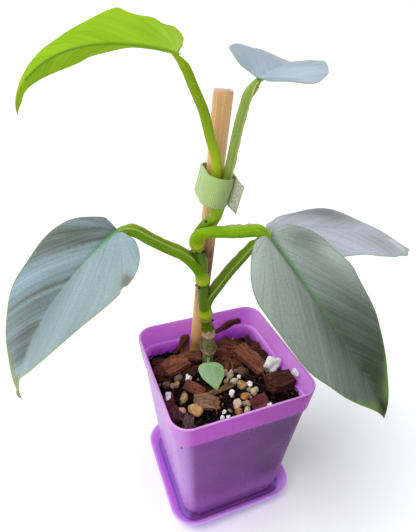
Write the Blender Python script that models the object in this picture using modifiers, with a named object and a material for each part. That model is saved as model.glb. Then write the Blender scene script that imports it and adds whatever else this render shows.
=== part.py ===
# Philodendron hastatum in a square plastic pot with its saucer, a bamboo stake and a tape tie.
# Units are metres, +Z is up, and the origin is the middle of the saucer's underside.
# The pot's front face looks along -Y. Leaf and route sizes are written in millimetres.
import random
from math import cos, radians, sin, tau

import bmesh
import bpy
import numpy as np
from mathutils import Matrix, Vector, noise

MM = 0.001
CLEARANCE = 0.3 * MM

# Saucer: half widths and heights of its outer skin, from the foot to the flared lip
SAUCER_WALL = 1.1 * MM
SAUCER_LIP = dict(half=33.1, radius=11.0, z=6.6)
SAUCER_PROFILE = [(26.2, 8.0, 0.0), (28.0, 8.6, 0.3), (30.2, 9.6, 2.6), (31.6, 10.3, 4.8)]

# Pot: a tapered rounded square, with a rim band that stands out by a small step.
# Its floor stands just clear of the saucer's floor, and each side has a foot notch.
POT_BASE_Z = SAUCER_WALL / MM + 0.4
POT_HEIGHT = 81.1
POT_TOP_HALF = 35.0
POT_BASE_HALF = 25.9
POT_TOP_RADIUS = 9.0
POT_BASE_RADIUS = 6.0
POT_WALL = 1.2 * MM
RIM_BAND = 12.0
RIM_STEP = 0.7
STEP_HEIGHT = 0.6
NOTCH_WIDTH = 11.0
NOTCH_HEIGHT = 3.4
NOTCH_DEPTH = 6.0
NOTCH_FROM_CORNER = 7.5

# Soil: fills the pot from its floor to an uneven surface just under the rim band, with husk
# chips and pebbles scattered over a square that reaches as far as given from the middle
SOIL_BASE_Z = POT_BASE_Z + (POT_WALL + CLEARANCE) / MM
SOIL_LEVEL = 67.6
SOIL_RINGS = 8
SOIL_RELIEF = 0.7
CHIPS = dict(count=26, seed=4, reach=24)
PEBBLES = dict(count=16, seed=9, reach=25)
LUMP_SPACING = 6.0

# Plant and stake
BLADE_THICKNESS = 0.8 * MM
RIB_SHARE = 0.6
STEM_ROUTE = [
    (-0.4, 15.6, 40), (-0.5, 15.8, 66.5), (-0.8, 15.9, 85), (-2.2, 16.4, 94.8), (-3.6, 17, 106.4),
    (-4.1, 17.2, 116.2), (-4.9, 17.5, 127.8), (-6.5, 18.2, 133.5), (-7.2, 18.5, 139.1),
    (-6, 18, 142.7), (-2.8, 16.7, 147.7), (-0.2, 15.6, 150.3), (0.6, 15.3, 153.6), (1.3, 15, 161.5),
]
STEM_RADII = [(40, 2.6), (66, 3.0), (86, 2.9), (92, 2.75), (140, 2.65), (149, 2.6), (152.5, 3.0), (155, 3.3)]
STEM_RINGS = [74.5, 85.0, 95.0, 116.5, 134.5]
RING_SWELL = 0.4
RING_LENGTH = 0.9
STAKE_FOOT = Vector((-6.7, 24.8, 36.0))
STAKE_TOP = Vector((4.7, 23.3, 200.2))
STAKE_FOOT_RADIUS = 3.0
STAKE_TOP_RADIUS = 3.6
STEM_BASE_GAP = 1.0

# Tie: a flat tape wound once round stem and stake, pinched at the right with a short free tail
TIE_WIDTH = 12.7
TIE_THICKNESS = 0.8 * MM
TIE_CENTRE = Vector((1.2, 19.3, 163.2))
TIE_FRONT = dict(shift=1.2, reach=4.3, radius=5.55)
TIE_BACK = dict(shift=-0.9, reach=-4.3, radius=5.2)
TIE_TILT = 13.0
TIE_SLOPE = 0.14
TAIL_DROP = 0.55

# Half outline of a blade: share of the length, share of the half width, and the share of
# the midrib where the vein that ends there leaves it
OUTLINE = [
    (0.00, 0.07, 0.0), (0.00, 0.28, 0.006), (0.01, 0.46, 0.02), (0.07, 0.73, 0.045),
    (0.155, 0.94, 0.10), (0.27, 1.00, 0.19), (0.52, 0.90, 0.36), (0.68, 0.64, 0.54),
    (0.82, 0.35, 0.72), (0.925, 0.145, 0.87), (1.0, 0.0, 1.0),
]

# Each leaf in millimetres and degrees. Heading turns from +X towards +Y, pitch and droop are
# the rise and fall along the midrib, fold lifts both halves, curl bends them down again.
# The wave runs along both margins. A dent is its depth, place and spread on the left margin,
# and a negative one is a bulge. Radii are the sheath's, the stalk's, its neck's and the rib's end.
LEAVES = {
    "leaf_left": dict(
        base=(-41, 24.7, 146.7), length=88.4, left=26.5, right=18.6, heading=208.6, pitch=-24.6,
        sweep=-19, droop=56.9, power=1.3, roll=-30.8, twist=31.9, fold=26.5, unfold=0, curl=8.6,
        tip=21.3, wave=0.8, waves=2.4, phase=0.6, dent=(0.1, 0.3, 0.06), taper=0, radii=(3.7, 2.95, 2.5, 0.5),
        stalk=[(-4.1, 17.2, 116.9), (-5.6, 16.9, 123), (-9, 17, 128.9), (-13.8, 17.9, 134),
               (-21.1, 19.3, 138.2), (-28, 20.5, 142.5), (-35, 22.2, 146.4)]),
    "leaf_right": dict(
        base=(18.6, 0.4, 146.7), length=95.4, left=26.9, right=28.7, heading=-62.7, pitch=-39.1,
        sweep=13.2, droop=14, power=1.3, roll=0.3, twist=26.1, fold=12, unfold=0, curl=13.1,
        tip=26.7, wave=0.6, waves=2.0, phase=1.0, dent=(0, 0.3, 0.06), taper=0, radii=(3.7, 2.95, 2.6, 0.5),
        stalk=[(-6.9, 18.3, 136.9), (-8, 17.2, 140.1), (-6.5, 14.9, 143.8), (-3.2, 12.3, 145.6),
               (1.4, 9.6, 146.3), (6.2, 6.5, 146.6), (11.5, 3.6, 147)]),
    "leaf_back": dict(
        base=(32.5, 25.3, 135), length=93.2, left=22, right=23.4, heading=-20, pitch=7.4,
        sweep=23.7, droop=45.8, power=1.2, roll=9.5, twist=-13, fold=0.4, unfold=0, curl=17,
        tip=25.6, wave=1.9, waves=1.8, phase=2.4, dent=(0, 0.3, 0.06), taper=0, radii=(3.6, 2.75, 2.1, 0.5),
        stalk=[(-2.3, 16.4, 96.4), (-2.8, 17.2, 102.2), (-1.6, 17.6, 107.5), (1.9, 17.9, 112.8),
               (8.8, 19.9, 119.3), (16.8, 22.7, 124.2), (25, 25.3, 128.2)]),
    "leaf_new": dict(
        base=(-15.7, 16.6, 214.2), length=79.8, left=20.4, right=18.6, heading=150.6, pitch=10.8,
        sweep=-7.6, droop=71.4, power=1.4, roll=79, twist=3.8, fold=73, unfold=9, curl=-4.6,
        tip=45, wave=1.6, waves=2.8, phase=1.2, dent=(-0.17, 0.42, 0.07), taper=0.5,
        radii=(2.2, 2.3, 1.7, 0.5),
        stalk=[(-0.5, 15.9, 161.6), (0, 15.4, 170), (-1, 14.8, 177.3), (-3.3, 14.7, 184),
               (-6.5, 13.8, 193.7), (-8.4, 13.5, 198), (-11.2, 14.1, 204), (-14, 14.9, 210)]),
    "leaf_top": dict(
        base=(9.5, 4.2, 207.7), length=70, left=19, right=18.1, heading=37.5, pitch=7.2,
        sweep=24.7, droop=24.7, power=1.3, roll=17.9, twist=-18.2, fold=14.8, unfold=-8.8, curl=20.2,
        tip=42, wave=0.4, waves=3.3, phase=0.2, dent=(0, 0.3, 0.06), taper=0, radii=(1.9, 2.1, 1.9, 0.5),
        stalk=[(3.7, 14, 161.6), (4.4, 13.6, 170), (5, 11.6, 179), (5.3, 9.1, 188.4),
               (5.9, 6.6, 196.7), (6.8, 4.6, 202.6)]),
    "leaf_basal": dict(
        base=(-2.9, 7.5, 74.6), length=15.6, left=6.6, right=6.4, heading=-94, pitch=-6,
        sweep=0, droop=24, power=1.2, roll=-8, twist=6, fold=10, unfold=0, curl=12,
        tip=10, wave=0, waves=1, phase=0, dent=(0, 0.3, 0.06), taper=0, radii=(1.0, 0.9, 0.8, 0.4),
        stalk=[(-0.6, 15.2, 69.6), (-1.1, 12.4, 72), (-1.9, 10.2, 73.4)]),
}
PURPLE = (0.33, 0.10, 0.46)
COLOURS = {
    "saucer": (PURPLE, 0.35), "pot": (PURPLE, 0.35), "soil": ((0.09, 0.04, 0.02), 0.9),
    "stake": ((0.62, 0.36, 0.16), 0.6), "tie": ((0.38, 0.58, 0.30), 0.9), "stem": ((0.16, 0.28, 0.03), 0.4),
    "leaf_left": ((0.33, 0.43, 0.40), 0.45), "leaf_right": ((0.27, 0.37, 0.32), 0.45),
    "leaf_back": ((0.40, 0.44, 0.48), 0.45), "leaf_new": ((0.30, 0.52, 0.03), 0.4),
    "leaf_top": ((0.46, 0.55, 0.62), 0.4), "leaf_basal": ((0.33, 0.55, 0.30), 0.5),
}
PLANT = "philodendron_in_pot"
CUTTERS = "cutters"


def clear_scene():
    for item in list(bpy.data.objects):
        bpy.data.objects.remove(item)


def make_collection(name):
    collection = bpy.data.collections.new(name)
    bpy.context.scene.collection.children.link(collection)
    return collection


def make_material(name):
    colour, roughness = COLOURS[name]
    material = bpy.data.materials.new(name)
    material.use_nodes = True
    shader = material.node_tree.nodes["Principled BSDF"]
    shader.inputs["Base Color"].default_value = (*colour, 1)
    shader.inputs["Roughness"].default_value = roughness
    shader.inputs["Metallic"].default_value = 0
    return material


def add_object(name, mesh, is_cutter=False):
    item = bpy.data.objects.new(name, mesh)
    bpy.data.collections[CUTTERS if is_cutter else PLANT].objects.link(item)
    if is_cutter:
        item.hide_render = True
        item.display_type = "WIRE"
    else:
        item.data.materials.append(make_material(name))
    return item


def mesh_of(name, bm):
    mesh = bpy.data.meshes.new(name)
    bm.to_mesh(mesh)
    bm.free()
    return mesh


def catmull_rom(points, count):
    # Points evenly spaced in parameter along a smooth curve through the given ones
    given = [Vector(p) for p in points]
    ends = [given[0] * 2 - given[1]] + given + [given[-1] * 2 - given[-2]]
    result = []
    for step in range(count):
        position = step / (count - 1) * (len(given) - 1)
        index = min(int(position), len(given) - 2)
        t = position - index
        a, b, c, d = ends[index:index + 4]
        result.append((b * 2 + (c - a) * t + (a * 2 - b * 5 + c * 4 - d) * t ** 2
                       + (b * 3 - a - c * 3 + d) * t ** 3) / 2)
    return result


def tube(name, points, radii, resolution, is_cutter=True):
    # A curve in millimetres with a radius at each point, made into a closed mesh in metres
    data = bpy.data.curves.new(name, "CURVE")
    data.dimensions = "3D"
    data.bevel_depth = MM
    data.bevel_resolution = resolution
    data.use_fill_caps = True
    spline = data.splines.new("POLY")
    spline.points.add(len(points) - 1)
    for target, point, radius in zip(spline.points, points, radii):
        target.co = (*(Vector(point) * MM), 1)
        target.radius = radius
    curve = bpy.data.objects.new(name, data)
    bpy.data.collections[CUTTERS].objects.link(curve)
    evaluated = curve.evaluated_get(bpy.context.evaluated_depsgraph_get())
    bm = bmesh.new()
    source = bpy.data.meshes.new_from_object(evaluated)
    bm.from_mesh(source)
    bmesh.ops.remove_doubles(bm, verts=bm.verts, dist=0.01 * MM)
    bpy.data.objects.remove(curve)
    bpy.data.meshes.remove(source)
    return add_object(name, mesh_of(name, bm), is_cutter)


def boolean(item, operand, operation, solver="EXACT"):
    modifier = item.modifiers.new(operation.lower(), "BOOLEAN")
    modifier.operation = operation
    modifier.solver = solver
    modifier.object = operand


def square_ring(half, radius, z, steps=6):
    # A square with round corners, as points going round from its right side
    ring = []
    for corner in range(4):
        angle = corner * tau / 4
        turn = Matrix.Rotation(angle, 3, "Z")
        for step in range(steps + 1):
            a = step / steps * tau / 4
            offset = Vector((half - radius + radius * cos(a), half - radius + radius * sin(a), z))
            ring.append(turn @ offset * MM)
    return ring


def loft(bm, rings):
    # Joins rings of equal length side by side and returns them as vertices
    made = [[bm.verts.new(point) for point in ring] for ring in rings]
    for low, high in zip(made, made[1:]):
        for i in range(len(low)):
            j = (i + 1) % len(low)
            bm.faces.new((low[i], low[j], high[j], high[i]))
    return made


def solidify(item, thickness):
    modifier = item.modifiers.new("thickness", "SOLIDIFY")
    modifier.thickness = thickness
    modifier.offset = -1
    modifier.use_even_offset = True
    modifier.use_quality_normals = True


def make_saucer():
    bm = bmesh.new()
    lip = (SAUCER_LIP["half"], SAUCER_LIP["radius"], SAUCER_LIP["z"])
    rings = loft(bm, [square_ring(*size) for size in SAUCER_PROFILE + [lip]])
    bm.faces.new(reversed(rings[0]))
    solidify(add_object("saucer", mesh_of("saucer", bm)), SAUCER_WALL)


def pot_half(z):
    # Half width of the pot's outer skin below the rim band at height z above the pot's foot
    return POT_BASE_HALF + (POT_TOP_HALF - RIM_STEP - POT_BASE_HALF) * z / POT_HEIGHT


def pot_radius(z):
    return POT_BASE_RADIUS + (POT_TOP_RADIUS - POT_BASE_RADIUS) * z / POT_HEIGHT


def make_pot():
    band = POT_HEIGHT - RIM_BAND
    levels = [(0, 0), (band - STEP_HEIGHT, 0), (band, RIM_STEP), (POT_HEIGHT, RIM_STEP)]
    bm = bmesh.new()
    rings = loft(bm, [square_ring(pot_half(z) + out, pot_radius(z), z + POT_BASE_Z) for z, out in levels])
    bm.faces.new(reversed(rings[0]))
    pot = add_object("pot", mesh_of("pot", bm))
    solidify(pot, POT_WALL)
    for corner in range(4):
        bm = bmesh.new()
        bmesh.ops.create_cube(bm, size=1)
        notch = add_object(f"notch_{corner}", mesh_of("notch", bm), True)
        turn = Matrix.Rotation(corner * tau / 4, 4, "Z")
        along_side = NOTCH_FROM_CORNER - POT_BASE_HALF
        place = Matrix.Translation(Vector((-POT_BASE_HALF, along_side, POT_BASE_Z)) * MM)
        size = Matrix.Diagonal((NOTCH_DEPTH * MM, NOTCH_WIDTH * MM, 2 * NOTCH_HEIGHT * MM, 1))
        notch.matrix_world = turn @ place @ size
        boolean(pot, notch, "DIFFERENCE")


def soil_height(x, y):
    # Highest at the front and right, with a hollow at the back right
    u, v = x / 30, y / 30
    ground = SOIL_LEVEL + 0.2 * u - 2.2 * v - 1.4 * u * v - 0.8 * v * v
    return ground + SOIL_RELIEF * noise.noise(Vector((x, y, 0)) * 0.25)


def soil_half(z):
    # Half width of the soil, a clearance inside the pot's wall
    return pot_half(z - POT_BASE_Z) - (POT_WALL + CLEARANCE) / MM


def surface_point(point):
    # Lifts a point to the soil's surface, and draws it in where the wall is narrower there
    z = soil_height(point.x / MM, point.y / MM)
    narrowing = soil_half(z) / soil_half(SOIL_LEVEL)
    return Vector((point.x * narrowing, point.y * narrowing, z * MM))


def soil_skin(bm):
    rings = [square_ring(soil_half(SOIL_BASE_Z), POT_BASE_RADIUS - 1, SOIL_BASE_Z)]
    for step in range(SOIL_RINGS):
        share = 1 - step / SOIL_RINGS
        ring = square_ring(soil_half(SOIL_LEVEL) * share, (POT_TOP_RADIUS - 1) * share, 0)
        rings.append([surface_point(point) for point in ring])
    made = loft(bm, rings)
    bm.faces.new(reversed(made[0]))
    middle = bm.verts.new((0, 0, soil_height(0, 0) * MM))
    inner = made[-1]
    for i in range(len(inner)):
        bm.faces.new((inner[i], inner[(i + 1) % len(inner)], middle))
    bmesh.ops.remove_doubles(bm, verts=bm.verts, dist=0.001 * MM)


def lump(name, place, size, heading, tilt, is_chip):
    # A husk chip is a tapered block and a pebble a coarse ball, both sunk into the surface
    bm = bmesh.new()
    if is_chip:
        bmesh.ops.create_cube(bm, size=1)
        for vertex in bm.verts:
            if vertex.co.x > 0:
                vertex.co.y *= 0.75
    else:
        bmesh.ops.create_icosphere(bm, subdivisions=1, radius=0.5)
    item = bpy.data.objects.new(name, mesh_of(name, bm))
    turn = Matrix.Rotation(radians(heading), 4, "Z") @ Matrix.Rotation(radians(tilt), 4, "Y")
    scale = Matrix.Diagonal((*(Vector(size) * MM), 1))
    item.matrix_world = Matrix.Translation(Vector(place) * MM) @ turn @ scale
    return item


def in_the_way(x, y):
    # True near the stem, the stake and the small leaf, which need clear ground
    near_stem = abs(x + 1.5) < 7 and 9 < y < 30
    near_leaf = abs(x + 3.3) < 11 and -12 < y < 14
    return near_stem or near_leaf


def scattered_places(count, seed, reach):
    draw = random.Random(seed)
    places = []
    while len(places) < count:
        x, y = draw.uniform(-reach, reach), draw.uniform(-reach, reach)
        clear = abs(x) + abs(y) < 1.7 * reach
        clear = clear and all((x - a) ** 2 + (y - b) ** 2 > LUMP_SPACING ** 2 for a, b, _ in places)
        if clear and not in_the_way(x, y):
            places.append((x, y, draw.random()))
    return places


def make_soil():
    bm = bmesh.new()
    soil_skin(bm)
    soil = add_object("soil", mesh_of("soil", bm))
    lumps = make_collection("lumps")
    for index, (x, y, chance) in enumerate(scattered_places(**CHIPS)):
        size = (7 + 4 * chance, 5 + 2 * chance, 3)
        place = (x, y, soil_height(x, y) + 0.3)
        lumps.objects.link(lump(f"chip_{index}", place, size, 360 * chance, 14 * chance, True))
    for index, (x, y, chance) in enumerate(scattered_places(**PEBBLES)):
        size = (4 + 1.5 * chance, 3.4 + chance, 3)
        place = (x, y, soil_height(x, y) + 0.9)
        lumps.objects.link(lump(f"pebble_{index}", place, size, 400 * chance, 10, False))
    union = soil.modifiers.new("lumps", "BOOLEAN")
    union.operation = "UNION"
    union.operand_type = "COLLECTION"
    union.collection = lumps
    union.solver = "MANIFOLD"
    return soil, lumps


def shell_of(face):
    # All faces reached from one face by crossing edges
    found, waiting = {face}, [face]
    while waiting:
        for edge in waiting.pop().edges:
            for other in edge.link_faces:
                if other not in found:
                    found.add(other)
                    waiting.append(other)
    return found


def apply_union(item):
    # Makes the union permanent, and drops small shells: sealed pockets and loose scraps
    evaluated = item.evaluated_get(bpy.context.evaluated_depsgraph_get())
    mesh = bpy.data.meshes.new_from_object(evaluated)
    item.modifiers.clear()
    bm = bmesh.new()
    bm.from_mesh(mesh)
    main_shell = shell_of(max(bm.faces, key=lambda face: face.calc_area()))
    scraps = [face for face in bm.faces if face not in main_shell]
    bmesh.ops.delete(bm, geom=scraps, context="FACES")
    bm.to_mesh(mesh)
    bm.free()
    item.data = mesh


def stem_radius(z):
    heights, radii = zip(*STEM_RADII)
    swell = sum(RING_SWELL * np.exp(-((z - ring) / RING_LENGTH) ** 2) for ring in STEM_RINGS)
    return float(np.interp(z, heights, radii) + swell)


def make_stem():
    points = catmull_rom(STEM_ROUTE, 60)
    radii = [stem_radius(point.z) for point in points]
    tube("stem", points, radii, 3, False)
    points[0].z -= STEM_BASE_GAP
    points[-1].z += CLEARANCE / MM
    return tube("stem_clearance", points, [radius + CLEARANCE / MM for radius in radii], 3)


def make_stake(name, extra, is_cutter):
    axis = STAKE_TOP - STAKE_FOOT
    bm = bmesh.new()
    bmesh.ops.create_cone(bm, cap_ends=True, segments=18, radius1=(STAKE_FOOT_RADIUS + extra) * MM,
                          radius2=(STAKE_TOP_RADIUS + extra) * MM, depth=(axis.length + 2 * extra) * MM)
    stake = add_object(name, mesh_of(name, bm), is_cutter)
    middle = Matrix.Translation((STAKE_TOP + STAKE_FOOT) / 2 * MM)
    stake.matrix_world = middle @ axis.to_track_quat("Z", "Y").to_matrix().to_4x4()
    return stake


def arc(circle, start, end, count):
    # Points on one of the tie's two round ends, by angle from the right towards the front
    radius = circle["radius"]
    for step in range(count):
        angle = radians(start + (end - start) * step / (count - 1))
        yield (circle["shift"] + radius * cos(angle), circle["reach"] + radius * sin(angle))


def tie_route():
    # In the tape's own plane: first number to the right, second towards the front
    right = TIE_FRONT["shift"] + TIE_FRONT["radius"]
    pinch = TIE_FRONT["reach"]
    route = [(right + 0.7, pinch + 0.3), (right - 0.1, pinch + 1.1)]
    route += arc(TIE_FRONT, 28, 180, 8)
    route += arc(TIE_BACK, 185, 350, 8)
    route += [(right - 0.9, -1), (right - 0.4, 1.4), (right + 0.5, pinch - 1.1), (right + 1.8, pinch - 1.2)]
    route += [(right + 3.1, pinch - 1), (right + 4.3, pinch - 0.6)]
    return catmull_rom([(x, y, 0) for x, y in route], 60)


def make_tie():
    right = Vector((0.926, -0.378, 0))
    turn = Matrix.Rotation(radians(TIE_TILT), 3, Vector((0, 0, 1)).cross(right))
    across, up = turn @ right, turn @ Vector((0, 0, 1))
    front = across.cross(up)
    tail_start = TIE_FRONT["shift"] + TIE_FRONT["radius"] + 1.5
    bm = bmesh.new()
    edges = []
    for point in tie_route():
        is_tail = point.y < TIE_FRONT["reach"]
        drop = point.x * TIE_SLOPE + (max(0, point.x - tail_start) * TAIL_DROP if is_tail else 0)
        middle = TIE_CENTRE + across * point.x + front * point.y - up * drop
        edges.append([bm.verts.new((middle + up * side * TIE_WIDTH / 2) * MM) for side in (-1, 1)])
    for (a, b), (c, d) in zip(edges, edges[1:]):
        bm.faces.new((a, c, d, b))
    tie = add_object("tie", mesh_of("tie", bm))
    solidify(tie, TIE_THICKNESS)
    tie.modifiers["thickness"].offset = 0


def outline_at(share):
    return catmull_rom(OUTLINE, 101)[round(share * 100)]


def midrib(leaf, steps=80):
    # Walks along the midrib and returns rows of position, side and up direction
    u = np.linspace(0, 1, steps + 1)
    end = np.clip((u - 0.82) / 0.18, 0, 1) ** 2
    heading = np.radians(leaf["heading"] + leaf["sweep"] * u)
    pitch = np.radians(leaf["pitch"] - leaf["droop"] * u ** leaf["power"] - leaf["tip"] * end)
    roll = np.radians(leaf["roll"] + leaf["twist"] * u)[:, None]
    forward = np.stack([np.cos(pitch) * np.cos(heading), np.cos(pitch) * np.sin(heading), np.sin(pitch)], 1)
    level = np.stack([-np.sin(heading), np.cos(heading), 0 * u], 1)
    upright = np.cross(forward, level)
    side = np.cos(roll) * level + np.sin(roll) * upright
    up = np.cos(roll) * upright - np.sin(roll) * level
    place = np.zeros((steps + 1, 3))
    place[1:] = np.cumsum((forward[1:] + forward[:-1]) / 2 * leaf["length"] / steps, 0)
    return np.hstack([place + np.array(leaf["base"]), side, up])


def sample(rows, share):
    # Position, side and up direction at a share of the midrib's length
    grid = np.linspace(0, 1, len(rows))
    row = [np.interp(share, grid, rows[:, k]) for k in range(9)]
    return Vector(row[0:3]), Vector(row[3:6]), Vector(row[6:9])


def blade_point(leaf, rows, edge, across):
    # across runs from -1 at the right margin to 1 at the left one
    along_edge, width, vein_root = edge
    s = abs(across)
    side = 1 if across > 0 else -1
    half = leaf["left"] if side > 0 else leaf["right"]
    along = vein_root + (along_edge - vein_root) * s ** 1.5
    depth, place_of_dent, spread = leaf["dent"]
    dent = depth * np.exp(-((along - place_of_dent) / spread) ** 2) if side > 0 else 0
    reach = max(width, 0) * half * s * (1 - dent) * (1 - leaf["taper"] * along ** 2)
    place, sideways, up = sample(rows, along)
    fold = radians(leaf["fold"] - leaf["unfold"] * along)
    bend = -radians(leaf["curl"]) / half
    out = (sin(fold + bend * reach) - sin(fold)) / bend
    rise = (cos(fold) - cos(fold + bend * reach)) / bend
    beat = sin(tau * leaf["waves"] * along + leaf["phase"] + (0 if side > 0 else 1.7))
    rise += leaf["wave"] * (reach / half) ** 2 * beat
    return place + sideways * side * out + up * rise


def blade_mesh(name, leaf, row_count, column_count):
    # A flat grid shaped by the leaf's formula and split into triangles, the same on both faces
    rows = midrib(leaf)
    bm = bmesh.new()
    bmesh.ops.create_grid(bm, x_segments=row_count, y_segments=2 * column_count, size=1)
    for vertex in bm.verts:
        edge = outline_at((vertex.co.x + 1) / 2)
        vertex.co = blade_point(leaf, rows, edge, vertex.co.y) * MM
    bmesh.ops.remove_doubles(bm, verts=bm.verts, dist=0.005 * MM)
    bmesh.ops.triangulate(bm, faces=bm.faces)
    return mesh_of(name, bm)


def stalk_points(leaf):
    # The stalk's own route, then the raised midrib under the blade, each with its radius
    sheath, stalk, neck, rib_end = leaf["radii"]
    route = [Vector(point) for point in leaf["stalk"]]
    radii = [sheath] + [stalk + (neck - stalk) * i / len(route) for i in range(1, len(route))]
    rows = midrib(leaf)
    for share in (0.03, 0.09, 0.18, 0.3, 0.42, 0.55, 0.68, 0.8):
        place, _, up = sample(rows, share)
        radius = rib_end + (neck * RIB_SHARE - rib_end) * (1 - share) ** 3
        route.append(place - up * (radius + 0.15))
        radii.append(radius)
    count = 2 * len(route) + 1
    smooth = catmull_rom(route, count)
    grid = np.linspace(0, len(route) - 1, count)
    return smooth, [float(np.interp(position, range(len(radii)), radii)) for position in grid]


def make_leaf(name, stem_clearance):
    leaf = LEAVES[name]
    is_small = leaf["length"] < 30
    size = (12, 3) if is_small else (20, 5)
    blade = add_object(name, blade_mesh(name, leaf, *size))
    solidify(blade, BLADE_THICKNESS)
    blade.modifiers["thickness"].use_even_offset = False
    points, radii = stalk_points(leaf)
    stalk = tube(f"{name}_stalk", points, radii, 2)
    boolean(blade, stalk, "UNION", "MANIFOLD")
    boolean(blade, stem_clearance, "DIFFERENCE")
    return blade


def main():
    clear_scene()
    make_collection(PLANT)
    make_collection(CUTTERS)
    make_saucer()
    make_pot()
    stem_clearance = make_stem()
    make_stake("stake", 0, False)
    stake_clearance = make_stake("stake_clearance", 0.3, True)
    make_tie()
    for name in LEAVES:
        make_leaf(name, stem_clearance)
    soil, lumps = make_soil()
    apply_union(soil)
    for item in list(lumps.objects):
        bpy.data.objects.remove(item)
    bpy.data.collections.remove(lumps)
    boolean(soil, stem_clearance, "DIFFERENCE")
    boolean(soil, stake_clearance, "DIFFERENCE")


main()
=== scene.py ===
import random
from math import cos, hypot, radians, sin, tau

import bmesh
import bpy
import numpy as np
from mathutils import Matrix, Vector, noise


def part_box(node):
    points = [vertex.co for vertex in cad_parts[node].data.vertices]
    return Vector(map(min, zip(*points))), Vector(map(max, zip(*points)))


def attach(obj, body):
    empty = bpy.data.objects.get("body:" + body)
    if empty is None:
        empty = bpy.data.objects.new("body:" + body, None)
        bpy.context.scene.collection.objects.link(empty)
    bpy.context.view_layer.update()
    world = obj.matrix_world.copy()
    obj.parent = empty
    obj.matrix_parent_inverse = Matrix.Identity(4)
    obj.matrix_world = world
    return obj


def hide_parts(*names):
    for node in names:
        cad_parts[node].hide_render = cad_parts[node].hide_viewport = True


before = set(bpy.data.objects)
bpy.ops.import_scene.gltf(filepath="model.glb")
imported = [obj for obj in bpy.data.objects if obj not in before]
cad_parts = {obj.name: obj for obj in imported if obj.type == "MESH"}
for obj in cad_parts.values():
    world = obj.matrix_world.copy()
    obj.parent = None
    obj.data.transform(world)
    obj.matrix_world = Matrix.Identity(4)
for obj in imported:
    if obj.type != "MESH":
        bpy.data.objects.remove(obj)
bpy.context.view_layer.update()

MM = 0.001

# The camera: its place, the direction it looks from, and its lens for a 36 mm tall picture
CAMERA_PLACE = (-65.42, -139.14, 225.58)
CAMERA_AZIMUTH = -22.15
CAMERA_ELEVATION = 30.73
CAMERA_ROLL = 1.9
CAMERA_LENS = 28.47
SENSOR = 36.0

# The pot's main sizes are read from its solid
POT_TOP_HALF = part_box("pot")[1].x / MM
POT_TOP_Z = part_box("pot")[1].z / MM
POT_FOOT_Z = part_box("pot")[0].z / MM
POT_BASE_HALF = 25.9
POT_RADII = (6.0, 9.0)
POT_WALL = 1.2
RIM_BAND = 12.0
RIM_STEP = 0.7
SOIL_LEVEL = 67.6

STEM_ROUTE = [
    (-0.4, 15.6, 40), (-0.5, 15.8, 66.5), (-0.8, 15.9, 85), (-2.2, 16.4, 94.8), (-3.6, 17, 106.4),
    (-4.1, 17.2, 116.2), (-4.9, 17.5, 127.8), (-6.5, 18.2, 133.5), (-7.2, 18.5, 139.1),
    (-6, 18, 142.7), (-2.8, 16.7, 147.7), (-0.2, 15.6, 150.3), (0.6, 15.3, 153.6), (1.3, 15, 161.5),
]
# Height and radius
STEM_RADII = [
    (40, 2.6), (66, 3.0), (86, 2.9), (92, 2.75), (140, 2.65), (149, 2.6), (152.5, 3.0), (155, 3.3),
]
# Heights of the ringed nodes, and the ends between which the joints are counted
STEM_RINGS = [74.5, 85.0, 95.0, 116.5, 134.5]
STEM_ENDS = (40, 190)
STAKE_FOOT = np.array((-6.7, 24.8, 36.0))
STAKE_TOP = np.array((4.9, 23.3, 200.9))
STAKE_RADII = (3.1, 4.1)

# The tie's loop has a round end in front of the stem and one behind the stake
TIE_WIDTH = 12.7
TIE_THICKNESS = 0.8
TIE_CENTRE = np.array((1.2, 19.3, 163.7))
TIE_FRONT = dict(shift=0.8, reach=4.3, radius=6.0)
TIE_BACK = dict(shift=-1.8, reach=-4.3, radius=5.7)
TIE_RIGHT = (0.926, -0.378, 0)
TIE_TILT = 13.0
TIE_SLOPE = -0.06
TAIL_DROP = 0.7

# Half outline of a blade: share of the length, share of the half width, and the share of
# the midrib where the vein that ends there leaves it
OUTLINE = [
    (0.00, 0.07, 0.0), (0.00, 0.28, 0.006), (0.01, 0.46, 0.02), (0.07, 0.73, 0.045),
    (0.155, 0.94, 0.10), (0.27, 1.00, 0.19), (0.52, 0.90, 0.36), (0.68, 0.64, 0.54),
    (0.82, 0.35, 0.72), (0.925, 0.145, 0.87), (1.0, 0.0, 1.0),
]
# Where the main side veins leave the midrib, with those of the lobes below 0, and how they arch
MAIN_VEINS = [-0.21, -0.15, -0.08, 0.0, 0.07, 0.15, 0.24, 0.33, 0.43, 0.54, 0.66, 0.79]
VEIN_LEAN = 1.5
VEIN_ARCH = 1.2
LOBE_VEINS = 0.25
VEIN_COUNT = 15
RIB_SHARES = (0.03, 0.09, 0.18, 0.3, 0.42, 0.55, 0.68, 0.8)

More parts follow.
